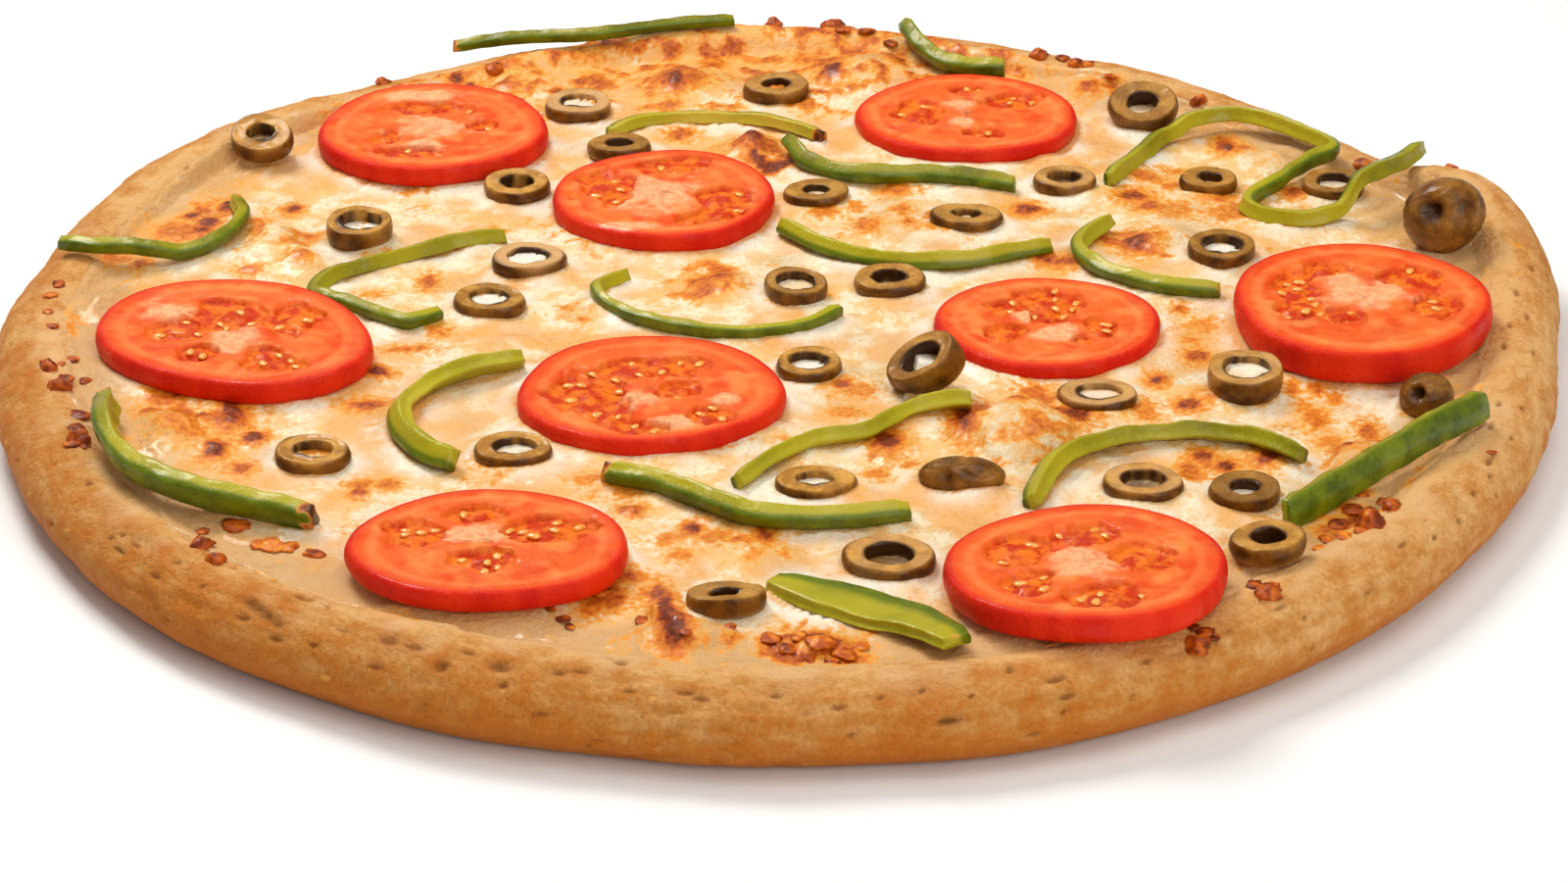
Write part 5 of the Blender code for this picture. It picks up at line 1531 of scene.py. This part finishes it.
GOLDEN_ZONES = [  # the same for wide areas that only began to brown
    (505, 75, 50, 20, 0.42), (690, 88, 45, 16, 0.5), (865, 45, 70, 22, 0.55), (750, 35, 40, 14, 0.45),
    (1095, 70, 36, 16, 0.5), (790, 168, 34, 13, 0.75), (590, 318, 30, 12, 0.35), (725, 288, 38, 22, 0.5),
    (1165, 245, 34, 18, 0.5), (950, 225, 55, 18, 0.42), (205, 425, 50, 22, 0.5), (215, 215, 24, 22, 0.5),
    (300, 248, 28, 14, 0.4), (640, 605, 36, 14, 0.5), (830, 663, 48, 16, 0.75), (1228, 478, 32, 14, 0.45),
    (1378, 535, 34, 22, 0.5), (905, 452, 26, 14, 0.55), (685, 555, 34, 12, 0.38), (1265, 150, 20, 18, 0.45),
    (455, 340, 22, 9, 0.35), (395, 265, 26, 9, 0.35), (500, 232, 22, 8, 0.35), (1240, 200, 30, 12, 0.4),
    (1040, 262, 30, 12, 0.4), (610, 62, 40, 16, 0.3), (560, 118, 24, 10, 0.35), (1190, 180, 40, 14, 0.3),
    (1060, 455, 50, 14, 0.4), (1205, 440, 44, 12, 0.3), (330, 470, 26, 14, 0.35), (500, 480, 36, 14, 0.25),
    (620, 500, 34, 10, 0.3), (120, 465, 20, 16, 0.3), (1335, 420, 30, 12, 0.3), (1215, 340, 26, 18, 0.25),
    (430, 200, 30, 14, 0.25), (840, 300, 22, 14, 0.2), (60, 280, 14, 16, 0.35), (75, 330, 16, 16, 0.35),
    (340, 130, 16, 20, 0.3), (780, 560, 40, 14, 0.3), (1130, 95, 26, 10, 0.4), (1000, 50, 18, 8, 0.4),
    (965, 480, 30, 14, 0.25),
]


def ovals_on_plan(table):
    """The picture's ovals as (x, y, half width, half depth, heat) on the plan."""
    made = []
    for right, below, half_width, half_depth, hot in table:
        place = picture_to_plan(right, below)
        made.append((place.x, place.y, half_width / ACROSS_PER_MM, half_depth / BACK_PER_MM, hot))
    return made


CHUNKS = [  # (right, down, half width, half depth, height in mm): lumps with a flat top
    (1040, 440, 52, 26, 1.6), (715, 622, 42, 26, 1.5), (1402, 474, 42, 22, 1.3), (915, 455, 22, 12, 0.9),
    (178, 434, 20, 11, 0.8), (222, 418, 17, 9, 0.7), (285, 240, 20, 12, 0.9), (850, 640, 36, 16, 0.9),
    (246, 424, 14, 8, 0.6), (205, 452, 15, 8, 0.6), (735, 285, 26, 14, 0.7), (1190, 245, 26, 14, 0.7),
]
WHITE_POOLS = [  # (x, y, half width, half depth): where the cheese stayed milky
    (-16.0, -29.0, 5.0, 3.0), (-15.0, -37.0, 4.0, 3.0),
]
OLIVE_POOLS = {  # number of the ring: (level of what fills the hole, as a share of its height, paleness)
    2: (0.7, 0.7), 7: (0.7, 0.9), 8: (0.6, 0.9), 22: (0.7, 0.8), 24: (0.75, 0.5),
    21: (0.45, 0.9), 6: (0.45, 0.9), 17: (0.45, 0.9), 19: (0.4, 0.5), 1: (0.4, 0.2),
    3: (0.5, 0.1), 4: (0.4, 0.3), 12: (0.5, 0.3), 16: (0.5, 0.3), 20: (0.4, 0.5), 23: (0.4, 0.6),
    11: (0.4, 0.2), 9: (0.4, 0.4), 10: (0.4, 0.4), 15: (0.4, 0.2), 25: (0.4, 0.4), 28: (0.4, 0.4),
}
print("browned spots:", len(BROWNED_SPOTS), "filled olives:", len(OLIVE_POOLS))

# %% [markdown]
# ## Cheese: the level of the sheet
# Broad swells, then melted strings as narrow ridges that follow a bent noise, then the blisters.
# A blister is a low dome that the oven has browned, and the same loop writes the heat that the
# shader will show. Edges are ragged because the noise moves each spot's outline in and out.

# %% Cheese height
BLISTER_HEIGHT = 1.1
HALO_HEAT = 0.42  # the golden ring round a spot, as a share of the spot's own heat
flat_spots = np.column_stack([cheese_xy, np.zeros(len(cheese_xy))])
rise = 0.5 * noise_at(flat_spots + (0.0, 0.0, 80.0), 16.0)
for x, y, radius, height in CHEESE_LUMPS:
    rise += height * np.exp(-1.4 * oval_distance(cheese_xy, x, y, radius, radius) ** 2)
chunk_edge = np.zeros(len(cheese_xy))
for right, below, half_width, half_depth, height in CHUNKS:
    place = picture_to_plan(right, below, 16.0)
    across = (cheese_xy[:, 0] - place.x) / half_width * ACROSS_PER_MM
    back = (cheese_xy[:, 1] - place.y) / half_depth * BACK_PER_MM
    edge = np.hypot(across, back) + 0.35 * noise_at(flat_spots, 5.0, 71.0)
    rise += height * ease(1.2, 0.8, edge) * (1.0 - 0.25 * np.clip(across - back, -1.0, 1.0))
    chunk_edge = np.maximum(chunk_edge, np.exp(-(((edge - 1.0) / 0.16) ** 2)))
clear = ease(0.0, 7.0, nearest)
level = CHEESE_HEIGHT + np.maximum(0.0, rise) * clear
bent = flat_spots.copy()
bent[:, 0] += 5.0 * noise_at(flat_spots, 14.0, 41.0)
bent[:, 1] += 5.0 * noise_at(flat_spots, 14.0, 42.0)
strings = 1.0 - np.abs(noise_at(bent * (1.0, 1.5, 1.0), 6.5, 43.0)) * 4.0
small_strings = 1.0 - np.abs(noise_at(bent * (1.4, 1.0, 1.0), 3.4, 44.0)) * 4.0
melted = ease(-0.35, 0.25, noise_at(flat_spots, 20.0, 45.0))
ripples = 0.42 * np.clip(strings, 0.0, 1.0) ** 1.5 + 0.22 * np.clip(small_strings, 0.0, 1.0)
ripples += 0.30 * layered_noise(flat_spots, 5.5, 46.0, 2)
level += ripples * (0.35 + 0.65 * melted) * ease(-0.5, 2.5, nearest)
ragged = 0.30 * noise_at(flat_spots, 2.6, 47.0) + 0.16 * noise_at(flat_spots, 1.2, 48.0)
heat = 0.55 * chunk_edge * ease(-0.3, 0.4, noise_at(flat_spots, 4.0, 72.0))
for x, y, half_width, half_depth, hot in ovals_on_plan(BROWNED_SPOTS):
    far = 4.0 * max(half_width, half_depth) + 5.0
    near = np.flatnonzero(oval_distance(cheese_xy, x, y, far, far) < 1.0)
    wide, deep = 1.2 * max(half_width, 1.0) + 0.7, 1.2 * max(half_depth, 1.0) + 0.7
    away = oval_distance(cheese_xy[near], x, y, wide, deep) + ragged[near]
    heat[near] = np.maximum(heat[near], hot * ease(1.3, 0.5, away))
    heat[near] = np.maximum(heat[near], HALO_HEAT * hot * ease(2.5, 1.0, away))
    height = min(BLISTER_HEIGHT, 0.30 * min(wide, deep))
    level[near] += height * hot * np.exp(-((away / 0.9) ** 2)) * clear[near]
blotches = ease(-0.45, 0.45, layered_noise(flat_spots, 5.0, 56.0))
loose = 0.55 * layered_noise(flat_spots, 7.0, 57.0)
for x, y, half_width, half_depth, hot in ovals_on_plan(GOLDEN_ZONES):
    away = oval_distance(cheese_xy, x, y, half_width, half_depth) + loose
    heat = np.maximum(heat, 1.3 * hot * ease(1.6, 0.3, away) * (0.25 + 0.75 * blotches))
raised = np.clip(strings, 0.0, 1.0) * melted
heat = np.maximum(heat, 0.30 * raised * ease(0.0, 0.7, layered_noise(flat_spots, 12.0, 58.0)))
print("the sheet lies between", round(float(level.min()), 1), "and", round(float(level.max()), 1), "mm")

# %% [markdown]
# ## Cheese: against the toppings and over the rim
# Here the sheet meets its neighbours. It ducks under toppings, climbs their sides, fills olive
# holes to the table's level, with painted shade on the floor of the holes that hold no pool, and
# lies on the dough as a film that sinks in at its very edge.

# %% Cheese against its neighbours
MOST_CLIMB = 3.2
HEAT_SCALE = 1.18  # lifts all the heat that was written above
EDGE_SINK = 1.5  # how deep the very edge sinks into the dough


def sum_around(grid):
    """For each point of the sheet, the sum over itself and its eight neighbours."""
    padded = np.pad(grid, 1)
    return sum(padded[i : i + side, j : j + side] for i in range(3) for j in range(3))


def carried_in(values, known, rounds):
    """The values with the known ones carried a few points on, and how far that reached."""
    grid, have = (values * known).reshape(side, side), known.astype(float).reshape(side, side)
    for _ in range(rounds):
        total, count = sum_around(grid), sum_around(have)
        new = (have == 0) & (count > 0)
        grid[new] = total[new] / count[new]
        have[new] = 1.0
    return grid.ravel(), have.ravel() > 0


against = np.exp(-((nearest / 2.3) ** 2))
willing = ease(-0.6, 0.3, noise_at(flat_spots, 9.0, 51.0))
climb = against * (0.18 + 0.42 * willing) * np.clip(top_beside - level, 0.0, MOST_CLIMB)
for _ in range(2):
    climb = (sum_around(climb.reshape(side, side)) / 9.0).ravel()
level += climb
milky_edge = np.exp(-((nearest / 4.0) ** 2)) * (covered == 0)
milky_edge *= ease(-0.35, 0.35, noise_at(flat_spots, 10.0, 59.0))
pool = 0.8 * milky_edge * (share < 0.9)
for x, y, half_width, half_depth in WHITE_POOLS:
    away = oval_distance(cheese_xy, x, y, half_width, half_depth) + 1.4 * ragged
    pool = np.maximum(pool, ease(1.3, 0.7, away))
# painted shade: the cheese at the bottom of olive holes that hold no pool is painted dark
recess_shade = np.zeros(len(cheese_xy))
HOLE_SHARE = 0.30  # no hole reaches further than this share of its ring's width
for number in OLIVE_HOLES:
    middle, axes, (width, _, height) = slab_pose(f"olive_ring_{number:02d}")
    away = oval_distance(cheese_xy, middle[0], middle[1], 1.0, 1.0)
    inside = (away < HOLE_SHARE * width) & (covered == 0)
    filled, milky = OLIVE_POOLS.get(number, (0.05, 0.0))
    floor_level = middle[2] + (filled - 0.5) * height
    dished = floor_level - 0.4 * ease(HOLE_SHARE * width, 0.0, away[inside])
    level[inside] = dished + 0.25 * ragged[inside]
    pool[inside] = np.maximum(pool[inside], milky)
    if number not in OLIVE_POOLS:
        recess_shade[inside] = 1.0
carried, reached = carried_in(level, covered == 0, 2)
tucked = np.where(reached, np.minimum(carried, top_beside - 0.7), np.minimum(level, underside + 0.12))
level = np.where(covered > 0, tucked, level)
film = dough_top + 0.55 + 0.35 * noise_at(flat_spots, 5.0, 52.0)
on_dough = ease(0.80, 0.90, share)
level = np.maximum(level, np.where(dough_top > 12.0, film, 0.0) * (on_dough > 0))
level -= EDGE_SINK * ease(0.985, 1.0, share)
rim_heat = 0.16 * ease(0.1, 0.5, layered_noise(flat_spots, 11.0, 53.0)) * ease(0.5, 0.95, share)
heat = np.maximum(heat, rim_heat)
far_back = ease(98.0, 122.0, cheese_xy[:, 1]) * ease(75.0, 55.0, cheese_xy[:, 0])
crisp_noise = layered_noise(flat_spots, 5.5, 60.0)
heat = np.maximum(heat, 0.62 * far_back * ease(-0.3, 0.55, crisp_noise))
level += 0.5 * far_back * ease(0.0, 0.5, crisp_noise) * (covered == 0)
toast = ease(-0.15, 0.4, layered_noise(flat_spots, 19.0, 54.0) + 0.5 * ease(50.0, 140.0, cheese_xy[:, 1]))
heat = np.minimum(HEAT_SCALE * heat, 1.0)
grey = ease(0.25, 0.6, noise_at(flat_spots, 23.0, 55.0))
print("film over the dough reaches", round(float(level[share > 0.97].max()), 1), "mm")

# %% Cheese piece
edge = [point_number[0, :-1], point_number[:-1, -1], point_number[-1, :0:-1], point_number[:0:-1, 0]]
edge = np.concatenate(edge)
edge_xy = cheese_xy[edge]
edge_unit = edge_xy / np.linalg.norm(edge_xy, axis=1, keepdims=True)
cheese_points = np.column_stack([cheese_xy, level])
FOOT_INSIDE = 24.0  # how far inside the outline the sheet's flat underside ends
FOOT_LEVEL = FLOOR_HEIGHT + 0.3
turned_in = np.column_stack([edge_xy - 2.0 * edge_unit, np.minimum(level[edge] - 1.5, 13.0)])
foot_radius = outline_radius(angle[edge]) - FOOT_INSIDE
foot = np.column_stack([edge_unit * foot_radius[:, None], np.full(len(edge), FOOT_LEVEL)])
start = len(cheese_points)
edge_count = len(edge)
cheese_points = np.vstack([cheese_points, turned_in, foot, (0.0, 0.0, FOOT_LEVEL)])
for i in range(edge_count):
    j = (i + 1) % edge_count
    cheese_faces.append((edge[i], edge[j], start + j, start + i))
    cheese_faces.append((start + i, start + j, start + edge_count + j, start + edge_count + i))
    cheese_faces.append((start + edge_count + i, start + edge_count + j, start + 2 * edge_count))
cheese_faces = [tuple(int(i) for i in face) for face in cheese_faces]
paints = {"scorch": heat, "pool": pool, "recess_shade": recess_shade, "toast": toast, "grey": grey}
paints["thin"] = ease(0.87, 0.95, share) * (1.0 - back_edge)
paints = {label: np.append(values, np.zeros(2 * edge_count + 1)) for label, values in paints.items()}
print("cheese faces:", len(cheese_faces))

# %% [markdown]
# ## Cheese: the material
# Mozzarella that has melted is ivory where it is thick, peach where fat has taken colour from
# tomato, and milky white where whey has pooled. It is soft and slightly see-through, so light
# scatters a millimetre or two inside. A thin film of oil lies on top in patches.

# %% Cheese material
melted_cheese, tree, shader = new_material("melted_cheese")
fine = place_group(tree, grain, {"Width in mm": 1.3, "Detail": 5.0})
broad = place_group(tree, grain, {"Width in mm": 6.0, "Detail": 5.0})
broad_mix = rescale(tree, broad.outputs["Height"], 0.42, 0.58)
colour = mix_colours(tree, broad_mix, (0.92, 0.59, 0.24), (0.97, 0.84, 0.60))
fatty = rescale(tree, fine.outputs["Height"], 0.52, 0.64, 0.0, 0.65)
CHEESE_TINTS = [  # (mask, colour), each laid over the one before
    (times(tree, painted(tree, "toast"), 0.85), (0.91, 0.44, 0.12)),
    (fatty, (0.86, 0.44, 0.09)),
    (times(tree, painted(tree, "grey"), 0.4), (0.66, 0.50, 0.30)),
    (times(tree, painted(tree, "thin"), 0.9), (0.67, 0.38, 0.15)),
    (painted(tree, "pool"), (0.99, 0.95, 0.86)),
    # painted shade at the bottom of the empty olive holes
    (times(tree, painted(tree, "recess_shade"), 0.8), (0.26, 0.11, 0.02)),
]
for mask, tint in CHEESE_TINTS:
    colour = mix_colours(tree, mask, colour, tint)
relief = calculate(tree, "ADD", fine.outputs["Height"], times(tree, broad.outputs["Height"], 1.5))
finish = {
    "Base Color": browned_colour(tree, colour, painted(tree, "scorch"), 0.95),
    **wet_finish(tree, 8.0, 0.5, (0.5, 0.25), (0.06, 0.45)),
    "Coat Roughness": 0.15,
    "Specular IOR Level": 0.28,
    "Subsurface Weight": 0.2,
    "Subsurface Radius": (1.0, 0.6, 0.3),
    "Subsurface Scale": 0.002,
    "Normal": bumped(tree, relief, 0.8, 0.0008),
}
plug(tree, shader, finish)
cheese = make_piece("cheese_sheet", cheese_points, cheese_faces, paints, melted_cheese, ["cheese"])
print("cheese piece:", len(cheese.data.polygons), "faces")

# %% [markdown]
# ## Crumbs on the rim
# Bits of grated cheese that landed on the rim have baked to dark crisp crumbs. Each is a small
# ball pushed in and out by noise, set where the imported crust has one. Between them lie thinner
# flakes, the same ball pressed flat, placed where the picture shows them. All are one piece,
# since they are one kind of thing, and they carry their own heat.

# %% Crumbs
RIM_CRUMBS = [  # (angle, inside the outline, size)
    (22.7, 5.0, 3.6), (28.0, 15.0, 3.4), (47.7, 15.0, 3.2), (60.8, 13.5, 3.2), (64.9, 12.0, 3.8),
    (84.6, 9.0, 4.2), (90.0, 7.0, 3.8), (117.0, 15.0, 3.4), (127.0, 8.0, 3.2), (192.3, 12.8, 3.0),
    (195.5, 14.0, 3.6), (204.5, 13.5, 4.2), (224.6, 15.0, 3.4), (227.2, 13.5, 3.2),
    (298.5, 5.0, 4.0), (305.7, 10.0, 3.6), (319.4, 15.0, 4.6), (322.6, 15.0, 3.2),
]
CRUMB_ROWS, CRUMB_AROUND = 12, 18
FLATTER = (1.0, 0.85, 0.7)  # length, width and height of a crumb


def crumb(seed, size):
    """A rough ball as rings of points, in mm round its own middle."""
    angles = circle(CRUMB_AROUND)
    rings = []
    for row in range(CRUMB_ROWS):
        t = math.pi * (row + 0.5) / CRUMB_ROWS
        flat_ring = math.sin(t) * np.stack([np.cos(angles), np.sin(angles)], axis=1)
        rings.append(np.column_stack([flat_ring, np.full(CRUMB_AROUND, math.cos(t))]))
    points = np.array(rings).reshape(-1, 3)
    bumps = 1.0 + 0.45 * noise_at(points, 0.9, seed) + 0.22 * noise_at(points, 0.35, seed + 1.0)
    points = points * (bumps * size / 2)[:, None] * FLATTER
    return capped_rings(points.reshape(CRUMB_ROWS, CRUMB_AROUND, 3))


FLAKES = [  # (right, down, size in mm, heat), in the picture
    (54, 333, 2.2, 0.7), (74, 367, 2.4, 0.8), (46, 370, 1.8, 0.75), (67, 387, 2.8, 0.85),
    (86, 389, 2.2, 0.7), (80, 425, 3.8, 0.85), (77, 437, 3.0, 0.8), (74, 454, 2.4, 0.7),
    (86, 456, 2.0, 0.75), (62, 372, 1.6, 0.7), (241, 536, 4.2, 0.7), (207, 543, 2.2, 0.75),
    (212, 556, 2.2, 0.8), (278, 557, 4.4, 0.4), (295, 559, 3.0, 0.5), (320, 565, 3.0, 0.7),
    (60, 290, 2.6, 0.7), (52, 302, 2.2, 0.6), (49, 318, 1.8, 0.6), (262, 556, 2.6, 0.45),
    (1380, 520, 3.6, 0.8), (1400, 525, 4.0, 0.7), (1364, 535, 3.2, 0.75), (1389, 541, 2.6, 0.6),
    (1371, 548, 2.4, 0.5), (1410, 512, 2.4, 0.6), (1352, 550, 2.2, 0.6), (1345, 560, 1.8, 0.5),
    (1390, 505, 2.0, 0.6), (1420, 520, 1.8, 0.6), (1230, 645, 3.0, 0.85), (1218, 640, 2.2, 0.75),
    (1240, 651, 1.8, 0.7), (1225, 652, 1.6, 0.7), (1280, 597, 2.6, 0.8), (1292, 601, 2.6, 0.75),
    (1390, 165, 2.6, 0.8), (575, 632, 2.2, 0.75), (561, 622, 1.8, 0.6), (582, 640, 1.6, 0.7),
    (1062, 56, 3.0, 0.7), (1084, 60, 3.0, 0.8), (1110, 66, 2.8, 0.6), (1134, 78, 2.4, 0.6),
    (860, 30, 3.2, 0.7), (884, 32, 3.4, 0.75), (908, 44, 3.0, 0.7), (745, 640, 2.0, 0.6),
    (787, 652, 3.2, 0.6), (803, 662, 3.0, 0.7), (838, 655, 4.0, 0.55), (862, 668, 3.6, 0.6),
    (815, 650, 2.6, 0.5), (850, 676, 2.4, 0.7), (825, 672, 2.4, 0.65), (880, 660, 2.2, 0.5),
    (700, 645, 1.8, 0.6), (1468, 402, 1.6, 0.6), (1522, 462, 1.6, 0.6), (655, 634, 2.4, 0.6),
    (612, 606, 2.4, 0.5),
]
CRUMB_HEAT = 0.7
FLAKE_THICKNESS = 0.34  # of a crumb's
GROWTH = 1.35  # noise takes more away than it adds, so each starts larger

rim_places = []
for where, inside, size in RIM_CRUMBS:
    reach = float(outline_radius(np.array([where]))[0]) - inside
    x, y = reach * math.cos(math.radians(where)), reach * math.sin(math.radians(where))
    rim_places.append((seen_below(crust_tree, x, y), size, CRUMB_HEAT, 1.0))
cheese_tree = tree_of(cheese_points, cheese_faces)
for right, below, size, hot in FLAKES:
    start, way = picture_ray(right, below)
    hits = [tree.ray_cast(start, way) for tree in (crust_tree, cheese_tree)]
    seen = min((hit for hit in hits if hit[0]), key=lambda hit: hit[3], default=None)
    if seen:
        rim_places.append((seen[0], size, hot, FLAKE_THICKNESS))
crumb_points, crumb_faces, crumb_heat = [], [], []
for number, (place, size, hot, thickness) in enumerate(rim_places):
    points, faces = crumb(61.0 + number, size * GROWTH)
    points = turned(points * (1.0, 1.0, thickness), number * 1.9) + (place.x, place.y, place.z + 0.15)
    add_to(crumb_points, crumb_faces, points, faces)
    crumb_heat.extend((hot + 0.12 + 0.4 * noise_at(points, 1.6, 63.0)).tolist())

crisp, tree, shader = new_material("crisp_cheese")
fine = place_group(tree, grain, {"Width in mm": 0.8, "Detail": 4.0})
finish = {
    "Base Color": browned_colour(tree, (0.86, 0.46, 0.13), painted(tree, "scorch"), 0.5),
    "Roughness": rescale(tree, fine.outputs["Height"], 0.3, 0.7, 0.3, 0.5),
    "Coat Weight": 0.1,
    "Specular IOR Level": 0.2,
    "Normal": bumped(tree, fine.outputs["Height"], 0.5, 0.0004),
}
plug(tree, shader, finish)
paints = {"scorch": crumb_heat}
make_piece("browned_crumbs", np.array(crumb_points), crumb_faces, paints, crisp, ())
print("crumbs and flakes:", len(rim_places))

# %% [markdown]
# ## The end
# The sizes of the imported model and of the finished one are printed.

# %% Sizes and finish
made_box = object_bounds()
sizes = {"cad": [list(map(float, corner)) for corner in cad_box]}
sizes["visual"] = [list(map(float, corner)) for corner in made_box]
print("packed box", sizes["cad"])
print("visual box", sizes["visual"])
